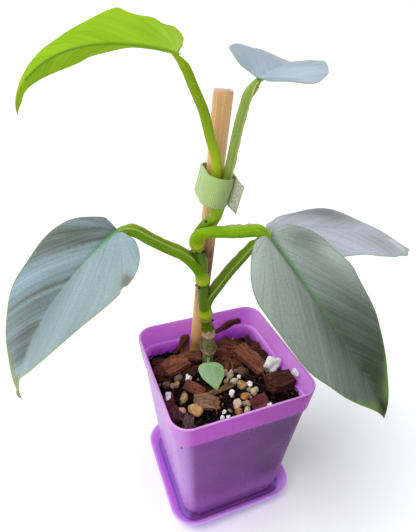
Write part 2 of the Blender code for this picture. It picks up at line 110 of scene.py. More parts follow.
# Each leaf's form, close to its solid: where the blade starts, its size, and its angles with how
# they change along it. A bulge is its side (1 is the left), its place along the blade, its
# spread, and how much wider the blade gets there. radii are those of the sheath, the stalk, its
# neck and the end of the rib. groove is where the stalk's groove faces, and wings are where the
# stalk's wings start and end, and their height.
PLAIN_LEAF = dict(unfold=0, taper=0, soft=0.4, rib_share=0.6, young=0.2, bulges=[])
LEAVES = {
    "leaf_left": dict(
        base=(-41, 24.7, 146.7), length=88.4, left=26.5, right=18.6, heading=208.6, pitch=-24.6,
        sweep=-19, droop=56.9, power=1.3, roll=-30.8, twist=31.9, fold=26.5, curl=8.6,
        tip=21.3, wave=0.8, waves=2.4, phase=0.6,
        bulges=[(1, 0.222, 0.02, -0.05), (1, 0.06, 0.06, 0.04), (1, 0.82, 0.07, -0.2),
                (0, 0.55, 0.2, 0.05), (0, 0.02, 0.06, -0.1), (0, 0.37, 0.08, -0.06)],
        radii=(3.7, 2.95, 2.5, 0.5), groove=(0.25, -0.15, 1), wings=(0.35, 0.97, 0.9),
        stalk=[(-4.1, 17.2, 116.9), (-5.6, 16.9, 122.6), (-9, 17, 128), (-13.8, 17.9, 133),
               (-21.1, 19.3, 137.3), (-28, 20.5, 141.7), (-35, 22.2, 146)]),
    "leaf_right": dict(
        base=(18.6, 0.4, 146.7), length=95.4, left=26.9, right=28.7, heading=-62.7, pitch=-39.1,
        sweep=13.2, droop=14, power=1.3, roll=0.3, twist=26.1, fold=12, curl=13.1,
        tip=26.7, wave=0.6, waves=2.0, phase=1.0,
        bulges=[(1, 0.34, 0.08, 0.12), (1, 0.75, 0.12, 0.08), (0, 0.82, 0.12, 0.15)],
        radii=(3.7, 2.95, 2.9, 0.5), groove=(0, 0.45, 1), wings=(0.55, 0.98, 1.1),
        stalk=[(-6.9, 18.3, 136.9), (-8, 17.2, 140.1), (-6.5, 14.9, 143.8), (-3.2, 12.3, 145.6),
               (1.4, 9.6, 146.3), (6.2, 6.5, 146.9), (11, 3.9, 147.8), (15, 1.9, 147.9)]),
    "leaf_back": dict(
        base=(32.5, 25.3, 135), length=91.5, left=22, right=23.4, heading=-20, pitch=7.4,
        sweep=23.7, droop=45.8, power=1.2, roll=1, twist=17, fold=0.4, curl=17,
        tip=-20, wave=0.8, waves=1.8, phase=2.4,
        bulges=[(1, 0.4, 0.14, 0.24), (1, 0.52, 0.08, 0.06), (1, 0.25, 0.08, 0.1),
                (1, 0.02, 0.06, -0.3), (1, 0.69, 0.065, -0.18), (1, 0.88, 0.13, 0.25),
                (0, 0.5, 0.14, -0.16), (0, 0.75, 0.08, 0.14), (0, 0.9, 0.08, 0.62)],
        radii=(3.8, 3.1, 2.4, 0.5), groove=(-0.5, -0.3, 0.8), wings=(0.3, 0.9, 0.7),
        stalk=[(-2.3, 16.4, 96.4), (-2.6, 17.2, 101.8), (-0.9, 17.4, 106.7), (2.9, 17.5, 111.6),
               (9.8, 19.5, 117.8), (17.6, 22.3, 122.8), (25.4, 25.1, 127.2)]),
    "leaf_new": dict(
        base=(-15.7, 16.6, 214.2), length=79.8, left=20.4, right=18.6, heading=150.6, pitch=10.8,
        sweep=-7.6, droop=71.4, power=1.4, roll=79, twist=3.8, fold=73, unfold=9, curl=-4.6,
        tip=45, wave=1.6, waves=2.8, phase=1.2, taper=0.5, rib_share=0.25, young=0.6,
        bulges=[(1, 0.38, 0.07, 0.3), (1, 0.22, 0.05, -0.05), (1, 0.12, 0.04, -0.14),
                (0, 0.66, 0.12, 0.4), (0, 0.12, 0.1, -0.15), (1, 0.82, 0.12, 1.0),
                (1, 0.97, 0.05, 1.3), (0, 0.97, 0.06, 1.6)],
        radii=(2.2, 2.3, 1.7, 0.3), groove=(0.6, 0.8, 0.2), wings=(0.4, 0.8, 0.0),
        stalk=[(-0.5, 15.9, 161.6), (0, 15.4, 170), (-1, 14.8, 177.3), (-3.3, 14.7, 184),
               (-6.5, 13.8, 193.7), (-8.4, 13.5, 198), (-11.2, 14.1, 204), (-14, 14.9, 210)]),
    "leaf_top": dict(
        base=(9.5, 4.2, 207.7), length=70, left=19, right=18.1, heading=37.5, pitch=7.2,
        sweep=24.7, droop=19, power=1.3, roll=17.9, twist=-18.2, fold=19, unfold=-8.8, curl=20.2,
        tip=42, wave=0.4, waves=3.3, phase=0.2, soft=4,
        bulges=[(0, 0.02, 0.08, -0.35), (0, 0.33, 0.16, 0.08), (1, 0.3, 0.12, 0.09)],
        radii=(1.9, 2.1, 1.9, 0.5), groove=(0.8, -0.6, 0.1), wings=(0.05, 0.97, 0.6),
        stalk=[(3.7, 14, 161.6), (4.4, 13.6, 170), (5, 11.6, 179), (5.3, 9.1, 188.4),
               (5.9, 6.6, 196.7), (6.8, 4.6, 202.6)]),
    "leaf_basal": dict(
        base=(-4.2, 6.6, 74.6), length=15.6, left=6.6, right=6.4, heading=-94, pitch=-6,
        sweep=0, droop=24, power=1.2, roll=-8, twist=6, fold=10, curl=12,
        tip=10, wave=0, waves=1, phase=0,
        radii=(1.0, 0.9, 0.8, 0.4), groove=(0, 0, 1), wings=(0.1, 0.2, 0.0),
        stalk=[(-0.8, 15, 69.6), (-1.8, 12, 72), (-3, 9.4, 73.4)]),
}
# Each leaf's colours: light and dark tones of the upper face, then its veins, margin, underside,
# tip and stalk. contrast is how strongly the left and right halves are striped, rib is the green
# midrib's half width at the stalk and at its end, and how far it reaches, and tip is where the
# tip's colour starts. A patch is its row and spread along the blade, its place and spread across
# it, and how much it lightens. A fold is a side, its first and last vein, the row that it ends
# at, and how much it lightens. Patches and folds are partly the leaf's own silver markings and
# partly painted light and shade: darker where a blade faces away from the light, lighter where
# it faces it.
PLAIN_LOOK = dict(slot="silver_leaf", under="8FA67C", gloss=(0.1, 0.5), folds=[])
LOOKS = {
    "leaf_left": dict(
        light="A5BFCA", dark="5E6559", vein="5C9A64", rim="88A03E", end="9FA92A", stalk="679000",
        contrast=(1.1, 0.4), lines=0.3, rib=(1.8, 0.5, 0.66), tip=0.86, tone=0.5,
        patches=[(0.2, 0.2, 0.3, 0.6, 0.3), (0.56, 0.06, -0.7, 0.4, 0.15),
                 (0.55, 0.2, 0.4, 0.4, 0.06), (0.72, 0.13, -0.3, 0.4, -0.26),
                 (0.44, 0.025, 1.0, 0.16, -1.1)],
        folds=[(-1, -0.1, 0.07, 0.6, -0.4), (-1, -9, -0.1, 0.6, -0.12),
               (-1, 0.345, 0.376, 0.75, 0.25), (-1, 0.3, 0.34, 0.75, -0.3),
               (-1, 0.38, 0.4, 0.75, -0.25), (-1, 0.56, 0.6, 0.9, -0.2)]),
    # leaf_right is painted darker towards its tip and lower side: its dark tone, its dark tip colour and most
    # of its patches are painted shade, and the lightening patch near its margin at row 0.5 is a painted
    # highlight
    "leaf_right": dict(
        light="CDDAD4", dark="3C4A38", vein="4F7A3C", rim="6B8C3E", end="1E330A", stalk="80AA08",
        contrast=(0.22, 0.2), lines=0.5, rib=(2.6, 0.8, 0.8), tip=0.88, tone=0.82,
        under="7F9A66", gloss=(0, 0.08),
        patches=[(1.0, 0.5, 0.0, 9.0, -0.78), (0.36, 0.11, 0.65, 0.35, -0.32),
                 (0.25, 0.2, -0.9, 0.4, 0.1), (0.67, 0.11, 0.05, 0.5, -0.2),
                 (0.61, 0.07, 0.75, 0.35, -0.16), (0.7, 0.09, 0.95, 0.45, -0.16),
                 (0.82, 0.08, 0.5, 0.5, -0.14), (0.5, 0.07, 0.85, 0.22, 0.3)]),
    "leaf_back": dict(
        light="D2D6E6", dark="6A7571", vein="8AA080", rim="8FA58C", end="A9AFA8", stalk="608600",
        contrast=(0.55, 0.55), lines=0.1, rib=(0.4, 0.2, 0.2), tip=0.95, tone=0.75,
        patches=[(0.5, 0.09, 0.85, 0.35, -0.45), (0.61, 0.08, 0.65, 0.45, -0.75),
                 (0.75, 0.07, -0.5, 0.5, -0.35), (0.42, 0.14, 0.95, 0.22, -0.5),
                 (0.86, 0.11, 0.75, 0.4, -0.55), (0.2, 0.15, 0.0, 0.5, -0.2)]),
    "leaf_new": dict(
        light="A6C84C", dark="80AC1E", vein="76A400", rim="94B82A", end="9CB42E", stalk="849F10",
        contrast=(0.4, 0.4), lines=0.2, rib=(0.8, 0.3, 0.7), tip=0.85, tone=0.5,
        under="80A820", ridge="5E8E04", gloss=(0, 0.1), slot="new_leaf",
        patches=[(0.1, 0.25, 0.4, 0.6, 0.45), (0.75, 0.2, 0.5, 0.8, -0.25)]),
    "leaf_top": dict(
        light="C2D2E6", dark="93A7B4", vein="86A58C", rim="8DAA92", end="8DAA92", stalk="90A450",
        contrast=(1.0, 0.8), lines=0.15, rib=(0.2, 0.1, 0.2), tip=0.93, tone=0.22,
        patches=[(0.05, 0.16, 0.0, 0.6, 0.6), (0.45, 0.12, -0.6, 0.4, 0.4),
                 (0.5, 0.15, 0.8, 0.4, -0.3), (0.8, 0.15, 0.0, 9.0, -0.3)]),
    "leaf_basal": dict(
        light="BADAB0", dark="76A85E", vein="86B562", rim="B4D28C", end="8AB83C", stalk="8FB15E",
        contrast=(0.5, 0.5), lines=0.25, rib=(1.5, 0.6, 0.8), tip=0.86, tone=0.62,
        under="8DB86A", slot="small_leaf",
        patches=[(0.4, 0.3, -0.6, 0.5, 0.25), (0.6, 0.25, 0.6, 0.5, -0.35)]),
}
for name in LEAVES:
    LEAVES[name] = {**PLAIN_LEAF, **LEAVES[name]}
    LOOKS[name] = {**PLAIN_LOOK, **LOOKS[name]}


def linear(code):
    # Linear colour of a screen colour written as six hexadecimal digits
    shares = [int(code[i:i + 2], 16) / 255 for i in (0, 2, 4)]
    return tuple(c / 12.92 if c <= 0.04045 else ((c + 0.055) / 1.055) ** 2.4 for c in shares)


class Paint:
    """One material: a Principled shader and the nodes that feed it."""

    def __init__(self, name, roughness, **sockets):
        self.material = bpy.data.materials.new(name)
        self.material.use_nodes = True
        self.tree = self.material.node_tree
        self.shader = self.tree.nodes["Principled BSDF"]
        self.shader.inputs["Roughness"].default_value = roughness
        for socket, value in sockets.items():
            self.shader.inputs[socket.replace("_", " ")].default_value = value

    def feed(self, socket, value):
        if isinstance(value, bpy.types.NodeSocket):
            self.tree.links.new(value, socket)
        elif isinstance(value, str):
            socket.default_value = (*linear(value), 1)
        else:
            socket.default_value = value

    def node(self, kind, **settings):
        node = self.tree.nodes.new("ShaderNode" + kind)
        for key, value in settings.items():
            setattr(node, key, value)
        return node

    def noise(self, scale, detail=3.0, stretch=(1, 1, 1), uv=False, shift=(0, 0, 0), rough=0.5):
        # Noise with its scale in features a millimetre, or a unit of UV
        source = self.node("TexCoord")
        mapping = self.node("Mapping")
        size = scale if uv else scale / MM
        self.tree.links.new(source.outputs["UV" if uv else "Object"], mapping.inputs["Vector"])
        mapping.inputs["Scale"].default_value = [size * s for s in stretch]
        mapping.inputs["Location"].default_value = shift
        return self.pattern(mapping.outputs["Vector"], detail, rough)

    def streaks(self, count, length, seed):
        # Noise drawn out along the side veins
        place = self.node("CombineXYZ")
        self.feed(place.inputs[0], self.math("MULTIPLY", self.value("vein"), count))
        self.feed(place.inputs[1], self.math("MULTIPLY", self.value("along"), length))
        place.inputs[2].default_value = seed
        return self.pattern(place.outputs[0], 4.0, 0.6)

    def pattern(self, place, detail, rough):
        texture = self.node("TexNoise")
        for socket, value in dict(Vector=place, Scale=1.0, Detail=detail, Roughness=rough).items():
            self.feed(texture.inputs[socket], value)
        return texture.outputs["Fac"]

    def value(self, name):
        return self.node("Attribute", attribute_name=name).outputs["Fac"]

    def tint(self):
        return self.node("VertexColor", layer_name="tint").outputs["Color"]

    def math(self, operation, first, second=0.0, clamp=False):
        node = self.node("Math", operation=operation, use_clamp=clamp)
        self.feed(node.inputs[0], first)
        self.feed(node.inputs[1], second)
        return node.outputs[0]

    def span(self, value, low, high, start=0.0, end=1.0):
        # Maps low to start and high to end, held between them
        node = self.node("MapRange")
        for socket, number in zip(node.inputs, (value, low, high, start, end)):
            self.feed(socket, number)
        return node.outputs[0]

    def mix(self, share, first, second, blend="MIX"):
        node = self.node("Mix", data_type="RGBA", blend_type=blend)
        self.feed(node.inputs[0], share)
        self.feed(node.inputs[6], first)
        self.feed(node.inputs[7], second)
        return node.outputs[2]

    def layers(self, colour, *layers):
        # Lays colours on the first one. Each comes with one of the mesh's named values and its
        # share, or with a pattern, the span over which it grows from nothing, and its most.
        for code, layer, *numbers in layers:
            if isinstance(layer, str):
                share = self.math("MULTIPLY", self.value(layer), numbers[0] if numbers else 1.0)
            else:
                share = self.span(layer, *numbers[:2], 0.0, *numbers[2:])
            colour = self.mix(share, colour, code)
        return colour

    def done(self, colour, roughness=None, height=None, relief=0.1):
        # Relief is the bump's depth in millimetres for a height from 0 to 1
        self.feed(self.shader.inputs["Base Color"], colour)
        if roughness is not None:
            self.feed(self.shader.inputs["Roughness"], roughness)
        if height is not None:
            bump = self.node("Bump")
            bump.inputs["Distance"].default_value = relief * MM
            bump.inputs["Strength"].default_value = 1
            self.feed(bump.inputs["Height"], height)
            self.feed(self.shader.inputs["Normal"], bump.outputs["Normal"])
        return self.material


def catmull_rom(points, count):
    # Points along a smooth curve through the given ones
    given = np.array(points, float)
    ends = np.vstack([2 * given[0] - given[1], given, 2 * given[-1] - given[-2]])
    place = np.linspace(0, len(given) - 1, count)
    index = np.minimum(place.astype(int), len(given) - 2)
    t = (place - index)[:, None]
    a, b, c, d = (ends[index + k] for k in range(4))
    return (b * 2 + (c - a) * t + (a * 2 - b * 5 + c * 4 - d) * t ** 2 + (b * 3 - a - c * 3 + d) * t ** 3) / 2


def unit(vectors):
    length = np.linalg.norm(vectors, axis=-1, keepdims=True)
    return vectors / np.maximum(length, 1e-9)


def bell(distance, spread):
    return np.exp(-(distance / spread) ** 2)


def smooth_step(values, low, high):
    t = np.clip((values - low) / (high - low), 0, 1)
    return t * t * (3 - 2 * t)


def rough_at(points, scale, seed=0.0):
    # Smooth noise from about -1 to 1 at each point, with its scale in features a millimetre
    flat = points.reshape(-1, 3) * scale + seed
    return np.array([noise.noise(point) for point in flat]).reshape(points.shape[:-1])


def full_turn(count):
    return np.linspace(-tau / 2, tau / 2, count, endpoint=False)


def circle(angles, radius, level):
    # Points round a circle, or round one at each of several levels
    return np.stack(np.broadcast_arrays(radius * np.cos(angles), radius * np.sin(angles), level), -1)


def rough_along(angles, level):
    # Noise that changes round a rod and along it, with a column of levels
    return rough_at(np.roll(circle(angles, 1, level), 1, -1), 1)


def add_object(name, data):
    item = bpy.data.objects.new(name, data)
    bpy.context.scene.collection.objects.link(item)
    return item


def add_piece(mesh, material_slot, replaced, *materials):
    piece = add_object(mesh.name, mesh)
    for material in materials:
        mesh.materials.append(material)
    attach(piece, "root")
    if replaced:
        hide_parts(replaced)


def tidy_mesh(mesh, angle=50):
    bm = bmesh.new()
    bm.from_mesh(mesh)
    bmesh.ops.remove_doubles(bm, verts=bm.verts, dist=0.0001 * MM)
    bmesh.ops.recalc_face_normals(bm, faces=bm.faces)
    bm.to_mesh(mesh)
    bm.free()
    mesh.shade_smooth()
    mesh.set_sharp_from_angle(angle=radians(angle))


def surface(name, grid, wrap=True, capped=True, values=None, slots=None):
    """A mesh through a grid of points, its rows and columns as UVs, with named values at each point."""
    rows, columns = grid.shape[:2]
    points = grid.reshape(-1, 3)
    i, j = np.meshgrid(np.arange(rows - 1), np.arange(columns - (not wrap)), indexing="ij")
    i, j = i.ravel(), j.ravel()
    k = (j + 1) % columns
    corners = [i * columns + j, i * columns + k, (i + 1) * columns + k, (i + 1) * columns + j]
    faces = np.stack(corners, 1).tolist()
    step = np.array([1 / (rows - 1), 1 / (columns - (not wrap))])
    uvs = np.stack([[i, j], [i, j + 1], [i + 1, j + 1], [i + 1, j]], 0).transpose(2, 0, 1) * step
    uvs = uvs.reshape(-1, 2)
    if capped:
        points = np.vstack([points, grid[0].mean(0), grid[-1].mean(0)])
        ring = np.arange(columns)
        after = (ring + 1) % columns
        last = (rows - 1) * columns
        faces += [[rows * columns, b, a] for a, b in zip(ring, after)]
        faces += [[rows * columns + 1, last + a, last + b] for a, b in zip(ring, after)]
        uvs = np.vstack([uvs, np.repeat([[0.0, 0.0], [1.0, 0.0]], 3 * columns, axis=0)])
    mesh = bpy.data.meshes.new(name)
    mesh.from_pydata((points * MM).tolist(), [], faces)
    mesh.uv_layers.new(name="UVMap").data.foreach_set("uv", uvs.astype(np.float32).ravel())
    for key, numbers in (values or {}).items():
        numbers = np.broadcast_to(numbers, (rows, columns)).ravel()
        numbers = np.append(numbers, np.zeros(len(points) - rows * columns))
        mesh.attributes.new(key, "FLOAT", "POINT").data.foreach_set("value", numbers.astype(np.float32))
    if slots is not None:
        mesh.polygons.foreach_set("material_index", slots.astype(np.int32))
    tidy_mesh(mesh)
    return mesh


def sweep(centres, radii, hint, angles):
    # Rings of points round a line. Angles are measured from the side that hint faces.
    ahead = unit(np.gradient(centres, axis=0))
    hint = np.array(hint, float)
    top = unit(hint - ahead * (ahead @ hint)[:, None])
    side = np.cross(ahead, top)
    around = top[:, None] * np.cos(angles)[None, :, None] + side[:, None] * np.sin(angles)[None, :, None]
    return centres[:, None] + around * np.broadcast_to(radii, (len(centres), len(angles)))[..., None]


class Heap:
    """Many small lumps gathered into one piece, each point with its own tint."""

    def __init__(self):
        self.points, self.faces, self.tints = [], [], []
        self.count = 0

    def add(self, points, faces, colour, tone=1.0):
        # Tone is how much lighter or darker each point is than the colour
        tints = np.ones((len(points), 4))
        tints[:, :3] = np.array(linear(colour)) * np.reshape(tone, (-1, 1))
        self.points.append(points)
        self.faces += (faces + self.count).tolist()
        self.tints.append(tints)
        self.count += len(points)

    def make(self, name, material, angle=60, slot="bark_mix", replaced="soil"):
        mesh = bpy.data.meshes.new(name)
        mesh.from_pydata((np.vstack(self.points) * MM).tolist(), [], self.faces)
        layer = mesh.color_attributes.new("tint", "FLOAT_COLOR", "POINT")
        layer.data.foreach_set("color", np.vstack(self.tints).astype(np.float32).ravel())
        tidy_mesh(mesh, angle)
        add_piece(mesh, slot, replaced, material)


def lump_shape(kind, cuts):
    # Points and triangles of a ball or a block one unit across
    bm = bmesh.new()
    if kind == "ball":
        bmesh.ops.create_icosphere(bm, subdivisions=cuts, radius=0.5)
    else:
        bmesh.ops.create_cube(bm, size=1)
        bmesh.ops.subdivide_edges(bm, edges=bm.edges, cuts=cuts, use_grid_fill=True)
        bmesh.ops.triangulate(bm, faces=bm.faces)
    points = np.array([vertex.co for vertex in bm.verts])
    faces = np.array([[vertex.index for vertex in face.verts] for face in bm.faces])
    bm.free()
    return points, faces


def lump_paint(name, scale, depth, roughness=0.8):
    # Takes each lump's own tint and varies it with grain
    paint = Paint(name, roughness, Specular_IOR_Level=0.12)
    grain = paint.noise(scale, 4, rough=0.65)
    shade = paint.layers("8C8078", ("FFFFFF", grain, 0.3, 0.7))
    light = paint.layers("FFFFFF", ("C8B8A8", paint.noise(scale * 0.35, 3), 0.5, 0.7))
    colour = paint.mix(depth, paint.tint(), shade, "MULTIPLY")
    return paint.done(paint.mix(depth, colour, light, "MULTIPLY"), None, grain, 0.25)


# Blades

# Shares of a half's width at which a blade has points, and its rows of points
ACROSS = [0, 0.015, 0.035, 0.06, 0.1, 0.16, 0.23, 0.31, 0.39, 0.47, 0.55, 0.63, 0.71, 0.78, 0.84,
          0.89, 0.93, 0.96, 0.98, 0.992, 1]
BLADE_ROWS = 200
SMALL_ROWS = 60
# The length at which a blade has its full thickness and relief, and the shortest drawn in full
FULL_LENGTH = 90
SMALL_LENGTH = 27
BLADE_THICKNESS = 0.55
EDGE_THICKNESS = 0.28
RIB_GROOVE = 0.35
VEIN_SWELL = 0.15
TIP_WIDTH = 0.012
TIP_START = 0.82
RIGHT_WAVE_SHIFT = 1.7


def midrib(leaf, steps=120):
    # Walks along the midrib: rows of position, side and up direction
    u = np.linspace(0, 1, steps + 1)
    end = np.clip((u - TIP_START) / (1 - TIP_START), 0, 1) ** 2
    heading = np.radians(leaf["heading"] + leaf["sweep"] * u)
    pitch = np.radians(leaf["pitch"] - leaf["droop"] * u ** leaf["power"] - leaf["tip"] * end)
    roll = np.radians(leaf["roll"] + leaf["twist"] * u)[:, None]
    forward = np.stack([np.cos(pitch) * np.cos(heading), np.cos(pitch) * np.sin(heading), np.sin(pitch)], 1)
    level = np.stack([-np.sin(heading), np.cos(heading), 0 * u], 1)
    upright = np.cross(forward, level)
    side = np.cos(roll) * level + np.sin(roll) * upright
    up = np.cos(roll) * upright - np.sin(roll) * level
    place = np.zeros((steps + 1, 3))
    place[1:] = np.cumsum((forward[1:] + forward[:-1]) / 2 * leaf["length"] / steps, 0)
    return np.hstack([place + np.array(leaf["base"]), side, up])


def at_share(rows, share):
    grid = np.linspace(0, 1, len(rows))
    return np.stack([np.interp(share, grid, rows[:, k]) for k in range(9)], -1)


def blade_form(leaf, edge, across):
    # Points of the upper face before relief, how far each lies from the midrib, and its vein
    s = np.abs(across)[None, :]
    is_left = across[None, :] > 0
    half = np.where(is_left, leaf["left"], leaf["right"])
    along = edge[:, 2:3] + (edge[:, 0:1] - edge[:, 2:3]) * s ** 1.5
    reach = np.maximum(edge[:, 1:2], TIP_WIDTH) * half * s * (1 - leaf["taper"] * along ** 2)
    for on_left, place, spread, amount in leaf["bulges"]:
        reach = reach * (1 + amount * bell(along - place, spread) * (is_left == on_left))
    row = at_share(midrib(leaf), along)
    fold = np.radians(leaf["fold"] - leaf["unfold"] * along)
    bend = -radians(leaf["curl"]) / half
    out = (np.sin(fold + bend * reach) - np.sin(fold)) / bend
    rise = (np.cos(fold) - np.cos(fold + bend * reach)) / bend
    rise = rise - np.sin(fold) * leaf["soft"] * (1 - np.exp(-reach / leaf["soft"]))
    beat = np.sin(tau * leaf["waves"] * along + leaf["phase"] + np.where(is_left, 0, RIGHT_WAVE_SHIFT))
    rise = rise + leaf["wave"] * (reach / half) ** 2 * beat
    out = np.where(is_left, out, -out)
    away = reach / leaf["length"]
    arch = VEIN_LEAN * away + VEIN_ARCH * away ** 2
    fan = LOBE_VEINS * (along / np.maximum(arch, 1e-6) - 1)
    vein = np.where(along >= arch, along - arch, fan)
    return row[..., 0:3] + row[..., 3:6] * out[..., None] + row[..., 6:9] * rise[..., None], reach, vein


def facing(grid):
    # The upper side's direction at each point, taken from the row before where a row has no width
    cross = np.cross(np.gradient(grid, axis=0), np.gradient(grid, axis=1))
    for i in range(1, len(cross)):
        if np.linalg.norm(cross[i], axis=-1).max() < 1e-3:
            cross[i] = cross[i - 1]
    return unit(cross)


def blade_values(look, size, place, across, reach, rim, vein):
    # The named values that the paint reads: the midrib's green, where lines, margin and tip
    # show, the tone (the leaf's markings with its painted light and shade), the vein and row, and
    # how strong the stripes are
    s = np.abs(across)
    wide, narrow, rib_end = look["rib"]
    rib = bell(reach, np.maximum(narrow + (wide - narrow) * (1 - place / rib_end), 0.1) * size)
    shade = look["tone"]
    for at, spread, side, side_spread, amount in look["patches"]:
        shade = shade + amount * bell(place - at, spread) * bell(across - side, side_spread)
    for side, first, last, end, amount in look["folds"]:
        within = smooth_step(vein, first - 0.01, first + 0.01) - smooth_step(vein, last - 0.01, last + 0.01)
        within = within * (across * side > 0)
        shade = shade + amount * within * (1 - smooth_step(place, end - 0.1, end))
    left, right = look["contrast"]
    return dict(
        green=rib * (1 - smooth_step(place, 0.6 * rib_end, rib_end)),
        line=(1 - 0.6 * s) * np.clip(s * 6, 0, 1) * (1 - smooth_step(place, 0.8, 0.95)),
        rim=bell(rim, max(size, 0.4) * (0.35 + 1.5 * smooth_step(place, 0.72, 0.9))),
        end=smooth_step(place, look["tip"], look["tip"] + 0.07),
        shade=shade, vein=vein, along=place,
        stripes=left + (right - left) * smooth_step(across, -0.1, 0.1))


def make_blade(name):
    leaf, look = LEAVES[name], LOOKS[name]
    size = leaf["length"] / FULL_LENGTH
    rows = SMALL_ROWS if leaf["length"] < SMALL_LENGTH else BLADE_ROWS
    edge = catmull_rom(OUTLINE, rows)
    place = np.linspace(0, 1, rows)[:, None]
    across = np.array([-s for s in ACROSS[:0:-1]] + ACROSS)
    s = np.abs(across)
    top, reach, vein = blade_form(leaf, edge, across)
    rim = np.where(across > 0, reach[:, -1:], reach[:, :1]) - reach
    steps = np.interp(vein, [-0.3] + MAIN_VEINS + [1], range(len(MAIN_VEINS) + 2))
    swell = np.sin(steps * tau / 2) ** 2 * 4 * s * (1 - s)
    relief = VEIN_SWELL * swell - RIB_GROOVE * bell(reach, 0.9) * (1 - place) ** 0.5
    relief = size * (relief + 0.3 * rough_at(top, 0.09) * np.clip(s * 3, 0, 1))
    normal = facing(top)
    upper = top + normal * relief[..., None]
    depth = EDGE_THICKNESS + (BLADE_THICKNESS - EDGE_THICKNESS) * np.clip(rim / 3, 0, 1)
    depth = depth * np.clip(edge[:, 1:2] * 4, 0.3, 1) * min(1, 0.5 + size)
    lower = upper - normal * depth[..., None]
    grid = np.concatenate([upper, lower[:, ::-1]], 1)
    values = {}
    for key, layer in blade_values(look, size, place, across, reach, rim, vein).items():
        layer = np.broadcast_to(layer, reach.shape)
        values[key] = np.concatenate([layer, layer[:, ::-1]], 1)
    is_under = np.tile(np.arange(grid.shape[1]) >= len(across) - 1, rows - 1)
    is_under = np.append(is_under, np.ones(2 * grid.shape[1], bool))
    mesh = surface(f"{name}_blade", grid, values=values, slots=is_under)
    add_piece(mesh, look["slot"], name, upper_paint(name), under_paint(name))


def upper_paint(name):
    # Silver tones that run along the arched side veins, with a green midrib, margin and tip
    look = LOOKS[name]
    seed = len(name) * 3.7
    sheen, shine = look["gloss"]
    paint = Paint(f"{name}_upper", 0.4, Sheen_Weight=sheen, Sheen_Roughness=0.4, Specular_IOR_Level=shine)
    streaks = paint.streaks(34, 1.6, seed)
    clouds = paint.streaks(8, 2.5, seed + 5)
    fine = paint.streaks(150, 3, seed + 9)
    grains = paint.noise(1.6, 4, rough=0.7)
    tone = 0.0
    for pattern, low, reach in ((streaks, 0.25, 0.22), (clouds, 0.3, 0.3), (fine, 0.3, 0.1)):
        tone = paint.math("ADD", tone, paint.span(pattern, low, 1 - low, -reach, reach))
    tone = paint.math("MULTIPLY", tone, paint.value("stripes"))
    # Adds the shade value: the leaf's markings with its painted light and shade
    tone = paint.math("ADD", tone, paint.value("shade"), True)
    colour = paint.mix(tone, look["dark"], look["light"])
    bent = paint.math("ADD", paint.math("MULTIPLY", clouds, 0.02), paint.value("vein"))
    wave = paint.math("ABSOLUTE", paint.math("SINE", paint.math("MULTIPLY", bent, VEIN_COUNT * tau / 2)))
    thin = paint.span(wave, 0, 0.16, 1, 0)
    lines = paint.math("MULTIPLY", paint.math("MULTIPLY", paint.value("line"), thin), look["lines"])
    colour = paint.mix(lines, colour, look["dark"])
    edges = [(look["vein"], "green", 0.85), (look["rim"], "rim", 0.85), (look["end"], "end", 0.9)]
    shimmer = paint.layers("D8DAD8", ("FFFFFF", grains, 0.3, 0.7))
    colour = paint.mix(1.0, paint.layers(colour, *edges), shimmer, "MULTIPLY")
    height = paint.math("MULTIPLY", paint.math("SUBTRACT", paint.math("ADD", fine, grains), thin), 0.5)
    return paint.done(colour, paint.span(grains, 0.3, 0.7, 0.34, 0.48), height, 0.12)


def under_paint(name):
    look = LOOKS[name]
    is_young = name == "leaf_new"
    paint = Paint(f"{name}_under", 0.45, Specular_IOR_Level=0.0 if is_young else 0.25)
    pale, deep = ("94B82C", "6E9612") if is_young else ("A5B795", "6F8A5C")
    colour = paint.layers(
        look["under"], (pale, paint.streaks(6, 3, 4), 0.35, 0.7),
        (deep, paint.streaks(30, 2, 9), 0.5, 0.75, 0.6), (deep, "green", 0.5), (look["end"], "end", 0.8))
    if is_young:
        colour = paint.mix(paint.span(paint.value("along"), 0.02, 0.45, 0.65, 0), colour, "ACC85C")
    return paint.done(colour, None, paint.streaks(110, 4, 2), 0.1)


# Stalks, stem and what grows on it

STALK_SIDES = 64
# Rows of points from one point of a stalk's route to the next
STALK_STEPS = 12
GROOVE_DEPTH = 0.42
# Angles from the groove to the two wings
WING_ANGLES = (-0.74, 0.74)
STEM_STEPS = 300
STEM_SIDES = 48
# Heights between which the stem turns from old and brown to green, and to its fresh top
OLD_STEM = (84, 86.5)
FRESH_STEM = (144, 151)


def stalk_line(leaf):
    # The stalk's route and radii, carried on under the blade as its raised midrib
    sheath, stalk, neck, rib_end = leaf["radii"]
    route = list(leaf["stalk"])
    radii = [sheath] + [stalk + (neck - stalk) * i / len(route) for i in range(1, len(route))]
    rows = midrib(leaf)
    for share in RIB_SHARES:
        row = at_share(rows, share)
        radius = rib_end + (neck * leaf["rib_share"] - rib_end) * (1 - share) ** 3
        sunk = 0.3 + RIB_GROOVE * leaf["length"] / FULL_LENGTH * (1 - share) ** 0.5
        route.append(row[0:3] - row[6:9] * (radius + sunk))
        radii.append(radius)
    return route, radii


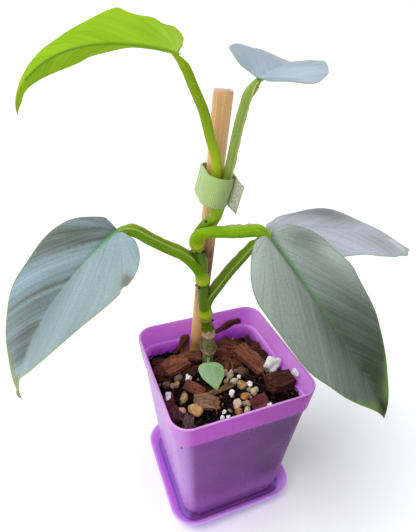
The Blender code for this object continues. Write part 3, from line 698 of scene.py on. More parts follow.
def make_stalk(name):
    leaf = LEAVES[name]
    route, radii = stalk_line(leaf)
    joints = len(leaf["stalk"])
    count = STALK_STEPS * (len(route) - 1) + 1
    position = np.linspace(0, len(route) - 1, count)[:, None]
    radius = np.interp(position, range(len(radii)), radii) * (1 - 0.14 * bell(position, 0.12))
    share = np.clip(position / joints, 0, 1)
    angles = full_turn(STALK_SIDES)
    start, end, height = leaf["wings"]
    groove = GROOVE_DEPTH * smooth_step(share, 0.1, 0.3) * (1 - smooth_step(share, 0.93, 1))
    wing = smooth_step(share, start - 0.08, start + 0.05) * (1 - smooth_step(share, end - 0.04, end))
    lips = [bell(angles - angle, 0.12) for angle in WING_ANGLES]
    rings = radius * (1 - groove * bell(angles, 0.5))
    for lip, seed in zip(lips, (1.3, 7.9)):
        ruffle = rough_at(position * (2.2, 0, 0), 1, (0, seed, 3))[:, None]
        rings = rings + wing * height * (1 + 0.8 * ruffle) * lip
    values = dict(
        pale=np.clip(wing * (lips[0] + lips[1]) * (height > 0), 0, 1),
        hollow=groove / GROOVE_DEPTH * bell(angles, 0.55),
        below=smooth_step(position, joints - 0.2, joints + 1),
        young=smooth_step(share, 0.02, leaf["young"]))
    grid = sweep(catmull_rom(route, count), rings, leaf["groove"], angles)
    add_piece(surface(f"{name}_stalk", grid, values=values), "green_stem", name, stalk_paint(name))


def stalk_paint(name):
    look = LOOKS[name]
    paint = Paint(f"{name}_stalk", 0.3, Specular_IOR_Level=0.08)
    streaks = paint.noise(1, 3, (10, 22, 1), True, (0, 0, len(name)), 0.6)
    grains = paint.noise(1.5, 3)
    colour = paint.layers(
        look["stalk"], ("4A7000", streaks, 0.35, 0.75, 0.5), ("A9C63E", grains, 0.5, 0.75, 0.35))
    # Yellow green towards the stalk's foot, its own young colour; on leaf_new it reaches further up as
    # painted light where the tie shades the foot
    colour = paint.mix(paint.math("SUBTRACT", 1.0, paint.value("young")), colour, "A8BC24")
    colour = paint.layers(
        colour, ("84982E", "hollow", 0.6), ("C8D08A", "pale", 0.6),
        (look.get("ridge", look["under"]), "below", 0.8))
    return paint.done(colour, paint.span(grains, 0.3, 0.7, 0.26, 0.4), grains, 0.08)


def stem_radius(heights):
    at, radii = zip(*STEM_RADII)
    swell = sum(0.3 * bell(heights - ring, 0.7) for ring in STEM_RINGS)
    return np.interp(heights, at, radii) + swell


def stem_at(height):
    centres = catmull_rom(STEM_ROUTE, STEM_STEPS)
    return np.array([np.interp(height, centres[:, 2], centres[:, k]) for k in range(3)])


def make_stem():
    centres = catmull_rom(STEM_ROUTE, STEM_STEPS)
    height = centres[:, 2:]
    angles = full_turn(STEM_SIDES)
    old = 1 - smooth_step(height, *OLD_STEM)
    radius = stem_radius(height) + rough_along(angles, height * 0.25) * (0.06 + 0.22 * old)
    rings = [STEM_ENDS[0]] + STEM_RINGS + [STEM_ENDS[1]]
    values = dict(
        phase=np.interp(height, rings, range(len(rings))) % 1, old=old,
        seam=sum(bell(height - ring, 0.32) for ring in STEM_RINGS),
        fresh=smooth_step(height, *FRESH_STEM))
    grid = sweep(centres, radius, (0, -1, 0), angles)
    add_piece(surface("main_stem", grid, values=values), "green_stem", "stem", stem_paint())


def stem_paint():
    # Each joint of the stem is yellow green at its foot and darkens upwards
    paint = Paint("stem_green", 0.32, Specular_IOR_Level=0.2)
    streaks = paint.noise(1, 3, (14, 16, 1), True, rough=0.6)
    grains = paint.noise(0.9, 3)
    phase = paint.value("phase")
    aged = paint.layers("6E7A4C", ("9BA06A", grains, 0.35, 0.65), ("B89C6C", streaks, 0.58, 0.68, 0.7))
    colour = paint.layers(
        "8CA41C", ("5C7A04", phase, 0, 0.12), ("436A00", phase, 0.5, 1, 0.8),
        ("4C7400", streaks, 0.45, 0.75, 0.5), ("94B420", "fresh", 0.8), (aged, "old"),
        ("B8B45C", "seam", 0.5))
    return paint.done(colour, paint.span(paint.value("old"), 0, 1, 0.3, 0.6), grains, 0.15)


# Torn sheath collars round the old joints: lowest and highest height, radius gap and raggedness
COLLARS = [(84.0, 88.9, 0.6, 1.8), (73.6, 76.9, 1.5, 2.6)]
COLLAR_THICKNESS = 0.22
COLLAR_ROWS = 14
COLLAR_SIDES = 90
# Root buds: height, angle round the stem and size
BUDS = [
    (134.0, -178, 1.5), (134.2, -122, 1.3), (134.0, -52, 1.7), (116.0, -175, 1.6), (115.2, -148, 1.4),
    (149.2, -165, 1.4), (148.4, -40, 1.7), (94.4, -30, 1.2), (79.8, -120, 0.9), (116.5, 60, 1.3),
]


def make_collars():
    angles = full_turn(COLLAR_SIDES)
    share = np.linspace(0, 1, COLLAR_ROWS)[:, None]
    for index, (low, high, gap, ragged) in enumerate(COLLARS):
        tear = rough_at(circle(angles, 2.2, index * 5.1), 1)
        tear = tear + 0.5 * rough_at(circle(angles, 9, index + 8.0), 1)
        height = low + (high + ragged * tear - low) * share
        flare = gap * (0.35 + 0.65 * share ** 1.5) + 0.25 * tear * share
        middle = np.array([stem_at(z) for z in low + (high - low) * share[:, 0]])
        skins = []
        for inset in (0, COLLAR_THICKNESS):
            ring = circle(angles, stem_radius(height) + flare - inset * (1 - 0.6 * share), height)
            ring[..., :2] += middle[:, None, :2]
            skins.append(ring)
        grid = np.concatenate([skins[0], skins[1][::-1], skins[0][:1]], 0)
        mesh = surface(f"sheath_collar_{index}", grid, capped=False)
        add_piece(mesh, "green_stem", None, collar_paint())


def collar_paint():
    paint = Paint("dry_sheath", 0.7)
    fibres = paint.noise(1, 3, (3, 45, 1), True, rough=0.6)
    colour = paint.layers(
        "B98D68", ("E6D2B0", fibres, 0.35, 0.65), ("8E6247", paint.noise(0.7, 2), 0.5, 0.7, 0.7))
    return paint.done(colour, None, fibres, 0.2)


def make_buds():
    heap = Heap()
    points, faces = lump_shape("ball", 3)
    for index, (height, angle, size) in enumerate(BUDS):
        out = np.array((cos(radians(angle)), sin(radians(angle)), 0))
        place = stem_at(height) + out * (stem_radius(height) + 0.15 * size)
        form = points * (1 + 0.3 * rough_at(points, 2.5, index))[:, None] * size
        form = form + out * 0.9 * size * np.maximum(points @ out, 0)[:, None] ** 2
        heap.add(form + place, faces, "6B3F30" if index % 3 else "A87A64")
    heap.make("root_buds", lump_paint("bud_brown", 3, 0.5), 40, "green_stem", None)


# Stake and tie

STAKE_ROWS = 220
STAKE_SIDES = 56
# Brown stains on the stake, deepened as painted shade where the stake passes behind the stem: height, spread
# and strength
STAINS_AND_SHADE = [(119, 16, 1.6), (74, 6, 0.7)]
# Heights between which the stake's lighter foot ends: painted light where the plant shades the stake
LIT_STAKE_FOOT = (105, 140)
# Rows of points along the tape and columns across it, its stitches' length and the spacing of
# their rows
TAPE_ROWS = 240
TAPE_COLUMNS = 26
STITCH = 0.9
STITCH_ROWS = 1.1


def make_stake():
    share = np.linspace(0, 1, STAKE_ROWS)[:, None]
    angles = full_turn(STAKE_SIDES)
    centres = STAKE_FOOT + (STAKE_TOP - STAKE_FOOT) * share
    radius = STAKE_RADII[0] + (STAKE_RADII[1] - STAKE_RADII[0]) * share
    flute = 0.05 * rough_at(circle(angles, 5, 0), 1)
    bumps = 0.1 * rough_along(angles, share * 8)
    rings = radius + flute + bumps - 0.35 * smooth_step(share, 0.996, 1)
    grid = sweep(centres, rings, (0, -1, 0), angles)
    rim = rough_at(circle(angles, 3, 9), 1)
    grid[..., 2] += 0.45 * rim * smooth_step(share, 0.99, 1)
    crown = grid[-1] + (STAKE_TOP - grid[-1]) * 0.4
    crown[:, 2] = grid[-1, :, 2] - 0.25 + 0.2 * rough_at(crown, 1.1)
    grid = np.concatenate([grid, crown[None]], 0)
    height = grid[..., 2]
    values = dict(
        cut=smooth_step(height, STAKE_TOP[2] - 0.8, STAKE_TOP[2] - 0.2),
        stain_and_shade=np.clip(sum(most * bell(height - at, spread) for at, spread, most in STAINS_AND_SHADE), 0, 1),
        low=1 - smooth_step(height, *LIT_STAKE_FOOT))
    add_piece(surface("bamboo_stake", grid, values=values), "bamboo", "stake", bamboo_paint())


def bamboo_paint():
    paint = Paint("bamboo_tan", 0.45)
    grain = paint.noise(1, 4, (3, 60, 1), True, rough=0.6)
    streaks = paint.noise(1, 3, (2, 14, 1), True, (0, 0, 5))
    # The low value paints the stake's foot lighter as painted light
    colour = paint.layers(
        "D2965A", ("F4C88C", grain, 0.3, 0.7), ("B87A45", streaks, 0.5, 0.8, 0.6), ("FFCC84", "low", 0.9))
    clouds = paint.span(paint.noise(0.12, 3), 0.3, 0.6, 0.45, 1)
    # Stains, deepened as painted shade behind the stem
    colour = paint.mix(paint.math("MULTIPLY", paint.value("stain_and_shade"), clouds), colour, "7C4A1E")
    end = paint.mix(paint.noise(2.5, 3), "C98E78", "F0CDB8")
    colour = paint.layers(colour, ("5A3B22", paint.noise(1.3, 1), 0.76, 0.8), (end, "cut"))
    return paint.done(colour, None, grain, 0.12)


def arc(end, first, last, count):
    # Points on one of the tie's two round ends, by angle from the right towards the front
    for angle in np.radians(np.linspace(first, last, count)):
        yield end["shift"] + end["radius"] * cos(angle), end["reach"] + end["radius"] * sin(angle)


def tie_route(count):
    # From the loop's inner end round the stem and stake, to the pinch and out along the tail
    right = TIE_FRONT["shift"] + TIE_FRONT["radius"]
    pinch = TIE_FRONT["reach"]
    route = [(right - 0.8, pinch + 2.0), (right - 1.3, pinch + 2.8)]
    route += arc(TIE_FRONT, 40, 180, 8)
    route += arc(TIE_BACK, 185, 350, 8)
    route += [(right - 0.9, -1), (right - 0.4, 1.4), (right + 0.2, pinch - 0.9), (right + 0.7, pinch + 0.4)]
    route += [(right + 1.7, pinch + 1.0), (right + 3.1, pinch + 0.9), (right + 4.6, pinch + 0.5)]
    return catmull_rom([(x, y, 0) for x, y in route], count)


def make_tie():
    right = Vector(TIE_RIGHT)
    turn = Matrix.Rotation(radians(TIE_TILT), 3, Vector((0, 0, 1)).cross(right))
    along, up = np.array(turn @ right), np.array(turn @ Vector((0, 0, 1)))
    x, y = tie_route(TAPE_ROWS)[:, :2].T[..., None]
    loop_end = TIE_FRONT["shift"] + TIE_FRONT["radius"]
    drop = x * TIE_SLOPE + np.maximum(0, x - loop_end - 0.4) * TAIL_DROP
    line = TIE_CENTRE + x * along + y * np.cross(along, up) - drop * up
    out = unit(np.cross(unit(np.gradient(line, axis=0)), up))
    length = np.append(0, np.cumsum(np.linalg.norm(np.diff(line, axis=0), axis=1)))
    beat = np.sin(length * tau / STITCH)[:, None]
    steps = np.linspace(-1, 1, TAPE_COLUMNS)
    across = steps * TIE_WIDTH / 2 + 0.09 * beat * (np.abs(steps) > 0.97) * np.sign(steps)
    plush = 0.07 * beat * np.sin(np.arange(TAPE_COLUMNS) * tau / 2.6)
    thin = TIE_THICKNESS / 2 * (1 - 0.35 * smooth_step(np.abs(steps), 0.9, 1)) + plush
    middle = line[:, None] + up * across[..., None]
    skins = [middle + out[:, None] * (side * thin)[..., None] for side in (-1, 1)]
    grid = np.concatenate([skins[0], skins[1][:, ::-1]], 1)
    values = dict(tail=smooth_step(x, loop_end, loop_end + 0.7), shade=smooth_step(x, -2, loop_end) * (y > 0))
    add_piece(surface("tape_tie", grid, values=values), "green_tape", "tie", tape_paint(length[-1]))


def tape_paint(length):
    # A woven face in small offset stitches, and a speckled hooked face on the tail
    paint = Paint("tape_green", 0.85, Sheen_Weight=0.3, Sheen_Roughness=0.6)
    parts = paint.node("SeparateXYZ")
    paint.feed(parts.inputs[0], paint.node("TexCoord").outputs["UV"])
    along = paint.math("MULTIPLY", parts.outputs[0], length * tau / STITCH)
    across = paint.math("MULTIPLY", parts.outputs[1], 2 * TIE_WIDTH * tau / STITCH_ROWS)
    rows = paint.math("SINE", across)
    lean = paint.math("ADD", along, paint.math("MULTIPLY", rows, 1.3))
    weave = paint.span(paint.math("MULTIPLY", paint.math("SINE", lean), rows), -1, 1)
    fuzz = paint.noise(3, 3, rough=0.7)
    hooks = paint.layers("A2AA84", ("F0EDD2", paint.noise(2.6, 2, rough=0.8), 0.42, 0.6))
    colour = paint.layers(
        paint.mix(weave, "8BAC58", "BCD884"), ("AECB78", fuzz, 0.4, 0.7, 0.5), ("6F8A4C", "shade", 0.75),
        (hooks, "tail"))
    return paint.done(colour, None, paint.math("ADD", weave, fuzz), 0.2)


# Pot and saucer

CORNER_POINTS = 13
FLAT_POINTS = 55
LIP_POINTS = 7
# Half width, corner radius and height, up the saucer's outside
SAUCER_PROFILE = [
    (10, 3, 0), (22, 7, 0), (26.2, 8, 0), (28, 8.6, 0.3), (30.2, 9.6, 2.6), (31.6, 11.3, 4.8),
    (33.1, 13.0, 6.6),
]
SAUCER_ROWS = 60
SAUCER_WALL = 1.1
POT_HEIGHT = POT_TOP_Z - POT_FOOT_Z
BAND_Z = POT_HEIGHT - RIM_BAND
STEP_HEIGHT = 0.6
WALL_ROWS = 26
BAND_ROWS = 10
NOTCH_HEIGHT = 2.9
NOTCH_FADE = 7.0


def square_ring(half, radius, z):
    # A square with round corners, as points going round from its right side
    angles = np.linspace(0, tau / 4, CORNER_POINTS)
    corner = half - radius + radius * np.stack([np.cos(angles), np.sin(angles)], 1)
    flat = np.linspace(corner[-1], (radius - half, half), FLAT_POINTS + 2)[1:-1]
    side = np.vstack([corner, flat])
    turned = [side, side[:, ::-1] * (-1, 1), -side, side[:, ::-1] * (1, -1)]
    ring = np.vstack(turned)
    return np.hstack([ring, np.full((len(ring), 1), z)])


def shell_rows(profile, wall):
    # Rows of (half, radius, z) up the outside, over a round lip and down the inside
    profile = np.array(profile, float)
    ahead = unit(np.gradient(profile[:, [0, 2]], axis=0))
    out = np.stack([ahead[:, 1], -ahead[:, 0]], 1)
    inner = profile.copy()
    inner[:, [0, 2]] -= out * wall
    inner[:, 1] -= wall * out[:, 0]
    inner[:, [0, 2]] = np.maximum.accumulate(inner[:, [0, 2]], axis=0)
    middle = profile[-1] - (profile[-1] - inner[-1]) / 2
    lip = []
    for angle in np.linspace(0, tau / 2, LIP_POINTS + 2)[1:-1]:
        row = middle.copy()
        row[[0, 2]] += wall / 2 * (cos(angle) * out[-1] + sin(angle) * ahead[-1])
        row[1] += wall / 2 * cos(angle) * out[-1, 0]
        lip.append(row)
    return np.vstack([profile, lip, inner[::-1]])


def pot_half(z):
    # Half width of the pot's outer skin below the rim band at a height above the pot's foot
    return POT_BASE_HALF + (POT_TOP_HALF - RIM_STEP - POT_BASE_HALF) * z / POT_HEIGHT


def inner_half(z):
    # Half width of the room inside the pot at a height above the ground
    return pot_half(z - POT_FOOT_Z) - POT_WALL


def pot_radius(z):
    return POT_RADII[0] + (POT_RADII[1] - POT_RADII[0]) * z / POT_HEIGHT


def make_pot():
    profile = [(POT_BASE_HALF - 15, 3.5, 0), (POT_BASE_HALF - 1.2, POT_RADII[0] - 1, 0)]
    profile += [(POT_BASE_HALF - 0.4, POT_RADII[0] - 0.3, 0.15), (POT_BASE_HALF, POT_RADII[0], 0.7)]
    heights = list(np.linspace(2, BAND_Z - STEP_HEIGHT, WALL_ROWS)) + [BAND_Z - 0.4, BAND_Z - 0.2, BAND_Z]
    heights += list(np.linspace(BAND_Z + 0.5, POT_HEIGHT - POT_WALL / 2, BAND_ROWS))
    for z in heights:
        out = RIM_STEP * float(smooth_step(z, BAND_Z - STEP_HEIGHT, BAND_Z))
        profile.append((pot_half(z) + out, pot_radius(z), z))
    rows = shell_rows(profile, POT_WALL)
    rows[:, 2] += POT_FOOT_Z
    grid = np.array([square_ring(*row) for row in rows])
    height = grid[..., 2] - POT_FOOT_Z
    row = np.arange(len(rows))[:, None]
    inside = row >= len(profile) + LIP_POINTS
    ragged = 0.9 * rough_at(grid, 0.35) + 0.5 * rough_at(grid, 1.1, 5)
    tangent = unit(np.roll(grid, -1, axis=1) - np.roll(grid, 1, axis=1))
    # Where the soil stands behind the wall, below its ragged top, the outer wall is painted darker: painted
    # shade where the soil blocks light through the plastic
    shaded_by_soil = smooth_step(BAND_Z - 0.2 + ragged, height - 0.25, height + 0.25)
    values = dict(
        shaded_by_soil=shaded_by_soil * (row < len(profile)), inside=inside,
        deep=smooth_step(BAND_Z + 0.4 - height, 0, 0.8),
        # A painted highlight along the lip
        lip=smooth_step(height, POT_HEIGHT - 0.4, POT_HEIGHT - 0.05),
        # A painted highlight along the inner ledge
        ledge_highlight=bell(height - BAND_Z - 0.2, 0.45) * inside,
        # Painted light and shade: left lightens faces turned to the left, right darkens towards the right and
        # low lightens towards the foot
        left=smooth_step(-tangent[..., 1], 0.0, 0.7),
        right=smooth_step(grid[..., 0], -22, 24),
        low=1 - smooth_step(height, 3, 26),
        # Darker on the inner wall just above the soil
        near_soil=smooth_step(SOIL_LEVEL + 1.5 - grid[..., 2] + 1.5 * ragged, 0, 3) * inside)
    grid[..., 2] += notch_lift(grid)
    add_piece(surface("pot_shell", grid, values=values), "purple_plastic", "pot", pot_paint())


def notch_lift(points):
    # How far the pot's foot rises at each point, to leave a notch round each corner
    start = POT_BASE_HALF - POT_RADII[0]
    near_x, near_y = (smooth_step(np.abs(points[..., k]), start, start + 0.9) for k in (0, 1))
    return NOTCH_HEIGHT * near_x * near_y * (1 - smooth_step(points[..., 2] - POT_FOOT_Z, 0, NOTCH_FADE))


def plastic(name, shine):
    return Paint(name, 0.34, IOR=1.46, Specular_IOR_Level=shine, Subsurface_Weight=0.6,
                 Subsurface_Radius=(0.004, 0.002, 0.005), Subsurface_Scale=1.0)


def plastic_finish(paint, colour):
    # Faint clouds, scuffs and grains of soil on the plastic
    scuffs = paint.noise(0.5, 5, (1, 1, 0.25), rough=0.7)
    dirt = paint.noise(0.4, 3, shift=(5, 2, 9))
    colour = paint.layers(colour, ("B070CC", paint.noise(0.06, 3), 0.35, 0.65, 0.1))
    dust = paint.math("MULTIPLY", paint.span(dirt, 0.83, 0.86), 0.4)
    colour = paint.mix(dust, colour, "6A4A5C")
    rough = paint.math("ADD", paint.span(scuffs, 0.35, 0.7, 0.26, 0.42), paint.math("MULTIPLY", dust, 0.5))
    return paint.done(colour, rough, paint.noise(2.2, 2), 0.02)


def pot_paint():
    paint = plastic("pot_purple", 0.15)
    # band is the wall above the soil, full the wall below it; left, right and low are painted light and shade
    band = paint.layers("A94AB0", ("96379A", "right"), ("BE80CC", "left"))
    full = paint.layers("6E2B7E", ("4E1A5C", "right"), ("9C68AE", "low"), ("B284CA", "left"))
    # The inner walls are painted light, much lighter than the outside, for light shining through the plastic,
    # and a little darker below the ledge
    inner = paint.layers("E4A2FC", ("D88EE8", "deep"), ("6A2C62", "near_soil", 0.5))
    # Painted highlights along the lip and the inner ledge
    rims = [("E8C4F6", "lip", 0.5), ("C0A8F4", "ledge_highlight", 0.45)]
    # Below the soil's top the outer wall takes the darker full colour as painted shade
    return plastic_finish(paint, paint.layers(band, (full, "shaded_by_soil"), (inner, "inside"), *rims))


def make_saucer():
    rows = catmull_rom(SAUCER_PROFILE, SAUCER_ROWS)
    rows[:, 2] = np.maximum(rows[:, 2], 0)
    rows = shell_rows(rows, SAUCER_WALL)
    grid = np.array([square_ring(*row) for row in rows])
    floor = 1 - smooth_step(rows[:, :1], 27.6, 29.4)
    # floor and front are painted shade: darker on the floor round the pot, darkest at the front where the
    # pot's shadow falls
    values = dict(
        inside=np.arange(len(rows))[:, None] >= SAUCER_ROWS + LIP_POINTS, floor=floor,
        front=floor * smooth_step(-grid[..., 1] - np.abs(grid[..., 0]), -2, 2))
    add_piece(surface("saucer_shell", grid, values=values), "purple_plastic", "saucer", saucer_paint())


def saucer_paint():
    paint = plastic("saucer_purple", 0.4)
    colour = paint.mix(paint.noise(0.2, 3), "BC90E6", "C69CEC")
    # The inside is painted lighter than the outside as painted light; floor and front lay painted shade round
    # the pot's foot
    inner = paint.layers("E6B2FC", ("AC78DE", "floor"), ("84489E", "front"))
    return plastic_finish(paint, paint.layers(colour, (inner, "inside")))


# Soil: a packed body with chips, pebbles, perlite, crumbs and fibres heaped on it

# Colours that the random lumps and fibres are drawn from
HUSK = ["5E3527", "6E3F2E", "4C2B21", "7C4A37", "3C221B", "744032"]
DARK_HUSK = ["2A1814", "1E1210", "381E18", "140E0D"]
STONE = ["9C8A74", "8A6A50", "6E5C4E", "A89A8A", "80583C", "94806A", "5E5048", "9C744C"]
CRUMB = ["0E0A09", "181110", "221613", "0A0807", "301E19"]
PERLITE = ["F1ECE6", "FBF8F4", "DAD3CB"]
FIBRE = ["84503A", "A06646", "6C3E2E", "BC8660", "543026"]
DARK_FIBRE = ["4E2B22", "643628", "38201A", "2A1814"]

# Lumps seen in the photo: place, height above the ground, size, heading, tilt, roll and colour
CHIPS = [
    (-19, 14.6, 3.4, (13.5, 9, 6.5), 12, -8, 8, "8E5642"),
    (-26.5, 15, 1.8, (8, 7, 4), 40, -5, 5, "6A3A34"),
    (-8.4, 19.4, 2.6, (9.5, 6, 5.5), -15, 5, 10, "80503E"),
    (-26, 22, 1.6, (7, 4, 3), -10, 5, 25, "5A3330"),
    (-9.5, 29, 4.0, (12, 5, 3.5), 70, -45, 20, "6E4232"),
    (-13.5, 9.5, 1.2, (7, 5, 3), -30, 4, 8, "4A2C22"),
    (26.4, -14.8, 2.3, (15.5, 9.5, 6.5), 2, 2, 4, "563228"),
    (-14.8, -2.6, 1.8, (10.5, 5.5, 2.6), -48, 8, 24, "7C4A38"),
    (-12.4, -12.9, 1.8, (12.5, 7.6, 2.4), -22, 4, 8, "98745F"),
    (-4.0, -8.0, 1.6, (15.5, 3.4, 1.2), 8, -4, 15, "70553C"),
    (-24, -20.2, 1.8, (9, 4.8, 2.2), 60, 10, 14, "7A5A5C"),
    (10.4, -22, 1.8, (8.5, 6.2, 3), 8, -10, 20, "703A40"),
    (-29, -6, 1.5, (9, 6, 3), 80, 12, -20, "6E3440"),
    (-28, -14, 1.4, (8, 5, 3), 95, 0, 10, "683444"),
    (19.2, 4.8, 4.2, (19, 8, 6), -62, 12, 14, "905A46"),
    (7, 17.5, 3.6, (12, 8, 6), -25, 0, 10, "7A4434"),
    (-14.5, -26.5, 1.2, (9, 3, 2), -18, 0, 10, "40282A"),
    (26, 6, 0.5, (8, 6, 4), 10, 0, 0, "3E241C"),
]
# Place, height above the ground, width and colour. Perlite has no colour of its own.
PEBBLES = [
    (3.3, 1.7, 1.6, 4.2, "C9AE92"), (5.0, -0.6, 1.7, 4.4, "BFAE9E"), (5.4, -4.9, 1.6, 4.2, "D8CEC4"),
    (7.7, -9.0, 1.6, 5.6, "C79A66"), (11.4, -15.0, 1.6, 4.2, "DCCBB0"), (9.8, -12.8, 1.4, 3.0, "A79E96"),
    (5.9, -16.2, 1.7, 4.6, "CC8F52"), (0.3, -19.3, 1.9, 5.0, "E6CDB0"), (-0.8, -23.2, 1.7, 3.8, "B5774E"),
    (3.6, -19.8, 1.4, 2.8, "A8A29A"), (5.5, -20.2, 1.4, 3.4, "C9A47C"), (3.2, -24.4, 1.6, 3.6, "DCC9AC"),
    (-21.3, -6.7, 1.8, 4.4, "CDB07E"), (-19.0, -15.6, 2.1, 6.8, "DDAE72"), (-24.4, -13.4, 1.6, 3.2, "DCC8A8"),
    (-22.0, 3.4, 1.5, 3.8, "C9977C"), (-27.0, 4.5, 1.5, 4.6, "7A6660"), (-19.9, 6.9, 1.5, 4.4, "877468"),
    (-24.2, 3.3, 1.3, 3.0, "B89A80"), (12.2, -0.3, 1.9, 6.0, "74574A"), (1.7, -3.2, 1.5, 3.2, "B9997C"),
    (9.6, 2.0, 1.2, 3.0, "8C7A6C"),
]
PERLITES = [
    (28.2, -3.0, 3.6, 9.5), (-15.3, 5.2, 1.8, 3.6), (-27.9, -3.3, 2.0, 4.4), (-8.9, -23.4, 1.2, 2.2),
    (-6.1, -24.0, 1.2, 1.8), (-6.7, -20.7, 1.2, 2.0), (14.4, -24.9, 1.4, 2.6), (11.7, -9.6, 1.6, 3.0),
    (0.9, -11.9, 1.5, 3.2), (9.0, -2.8, 1.3, 2.0),
]
# A grain of perlite on the pot's inner wall and a chip against its back wall
LEDGE_PERLITE = (32.2, -16.4, 77.4)
WALL_CHIP = (17.2, 31.6, 73.8)
# Fibre lumps: place, height above the ground and size
MOUNDS = [
    (13, 18, 0.5, (20, 12, 8)), (20, 9, 0.0, (13, 10, 6)), (6, 19, 0.0, (12, 9, 8)),
    (22, 18, -1, (12, 9, 7)),
]
# Where the random lumps and fibres leave the ground bare: place and reach
BARE_PATCHES = [(-11, -20.5, 7), (-23, 28, 7)]
# Routes of single fibres, as places and heights above the ground
STRANDS = [
    [(6, 26, 4), (12, 22, 6.5), (17, 15, 6), (20.5, 9, 4.5), (22, 3, 2.5), (21.5, -5, 2), (20, -10, 1.4)],
    [(16, 8, 4), (20, 3, 4.2), (22.5, -3, 3.4), (22.5, -8, 2.4), (20.5, -13, 1.6)],
    [(3, 22, 5), (8, 20, 8), (15, 18, 7.4), (21, 13, 5.5), (25, 6, 3.5)],
    [(6, 14, 3), (9, 9, 4), (8.5, 4, 2.6), (6, 1, 1.2)],
    [(-10, -12, 3), (-9.5, -17, 2.2), (-10.5, -21, 1.2)],
    [(-27, -16, 2), (-25.5, -20, 2.6), (-22, -23.5, 1.6)],
    [(-25, -13, 1.5), (-27, -18, 2.8), (-24, -22, 1.2)],
]
# Route, radius and colour
STICKS = [
    ([(24.5, 19, 65), (24.6, 20, 69), (24.9, 21, 73.4)], 1.2, "5E4636"),
    ([(-16, 27, 66), (-11, 29, 70), (-6.5, 30, 74)], 1.2, "5A3A2A"),
]

# How far from the middle random lumps lie, how many of each kind there are, and how many of the
# fibres lie on the mound
SPREAD = 31
CHIP_COUNT = 60
PEBBLE_COUNT = 60
PERLITE_COUNT = 12
CRUMB_COUNT = 1500
FIBRE_COUNT = 440
MOUND_FIBRES = 280
# The mound that the fibres follow: its place in x and in y, its reach in each, and its height
MOUND_PLACE = 15
MOUND_REACH = (11, 7.5)
MOUND_HEIGHT = 4.2
STRAND_RADIUS = 0.3
# Rows of points in the packed body's top
GROUND_ROWS = 56
# Lump shapes by kind and fineness
KINDS = [("block", 12), ("block", 4), ("ball", 4), ("ball", 3), ("ball", 2), ("ball", 1)]
SHAPES = {kind: lump_shape(*kind) for kind in KINDS}


def soil_height(x, y):
    # Highest at the front right and lowest at the back right
    u, v = x / 30, y / 30
    return SOIL_LEVEL + 0.2 * u - 2.2 * v - 1.4 * u * v - 0.8 * v * v


def on_ground(x, y, lift):
    return np.array((x, y, soil_height(x, y) + lift))


def turned(points, heading, tilt, roll):
    spin = Matrix.Rotation(radians(heading), 3, "Z") @ Matrix.Rotation(radians(tilt), 3, "Y")
    return points @ np.array(spin @ Matrix.Rotation(radians(roll), 3, "X")).T


def keep_in(points):
    limit = inner_half(points[:, 2:]) - 0.4
    points[:, :2] = np.clip(points[:, :2], -limit, limit)
    return points


def add_chip(heap, place, size, angles, colour, cuts, seed):
    # A block of husk with ridges and streaks along its length and torn ends
    points, faces = SHAPES["block", cuts]
    round_off = 1 - 0.16 * np.clip(np.linalg.norm(points, axis=1, keepdims=True) - 0.5, 0, 1) / 0.37
    local = points * round_off * np.array(size)
    seeds = np.array((7.3, 3.1, 1.7)) * seed
    ridge = rough_at(local, (0.12, 0.9, 0.9), seeds)
    fine = rough_at(local, (0.3, 2.4, 2.4), seeds)
    bend = rough_at(local, 0.16, seeds)
    local = local * (1 + 0.16 * ridge + 0.06 * fine)[:, None]
    local[:, 2] += 0.12 * size[0] * bend
    local[:, 0] += np.abs(points[:, 0]) * 1.8 * fine
    tone = 1.12 * np.clip(1 + 0.55 * ridge + 0.75 * fine, 0.3, 1.9)
    heap.add(keep_in(turned(local, *angles) + place), faces, colour, tone)


def add_stone(heap, place, size, angles, colour, cuts, seed, bumps=0.22, is_inside=True):
    points, faces = SHAPES["ball", cuts]
    seeds = np.array((2.3, 5.1, 1.1)) * seed
    low = rough_at(points, 2.1, seeds)
    fine = rough_at(points, 6, seeds)
    local = points * (1 + 2 * bumps * low + 0.3 * bumps * fine)[:, None] * np.array(size)
    local = turned(local, *angles) + place
    tone = np.clip(1 + 0.3 * low + 0.25 * fine, 0.5, 1.4)
    heap.add(keep_in(local) if is_inside else local, faces, colour, tone)


def add_thread(heap, route, radius, colour, sides=5, taper=0.5):
    count = 6 * len(route)
    centres = catmull_rom(route, count)
    share = np.linspace(-1, 1, count)[:, None]
    radii = radius * (1 - (1 - taper) * share ** 4)
    grid = sweep(centres, radii, (0.3, 0.2, 1), np.linspace(0, tau, sides, endpoint=False))
    points = np.vstack([grid.reshape(-1, 3), centres[:1], centres[-1:]])
    faces = []
    for i in range(count - 1):
        for j in range(sides):
            a, b = i * sides + j, i * sides + (j + 1) % sides
            faces += [[a, b, b + sides], [a, b + sides, a + sides]]
    last = (count - 1) * sides
    for j in range(sides):
        k = (j + 1) % sides
        faces += [[count * sides, k, j], [count * sides + 1, last + j, last + k]]
    heap.add(points, np.array(faces), colour)


def is_free(x, y):
    # True away from the stem, the stake and the bare patches
    near_stem = abs(x + 1.5) < 4.5 and 11 < y < 20
    near_stake = abs(x + 4.4) < 4.5 and 20 < y < 29
    return not near_stem and not near_stake and not is_bare(x, y)


def is_bare(x, y):
    return any(hypot(x - a, y - b) < reach for a, b, reach in BARE_PATCHES)


def scattered(draw, count, reach, spacing):
    # Random free places in the pot that stay apart from each other
    places = []
    tries = 0
    while len(places) < count and tries < 60 * count:
        tries += 1
        x, y = draw.uniform(-reach, reach), draw.uniform(-reach, reach)
        is_clear = abs(x) + abs(y) < 1.72 * reach and is_free(x, y)
        if is_clear and all((x - a) ** 2 + (y - b) ** 2 > spacing ** 2 for a, b in places):
            places.append((x, y))
    return places


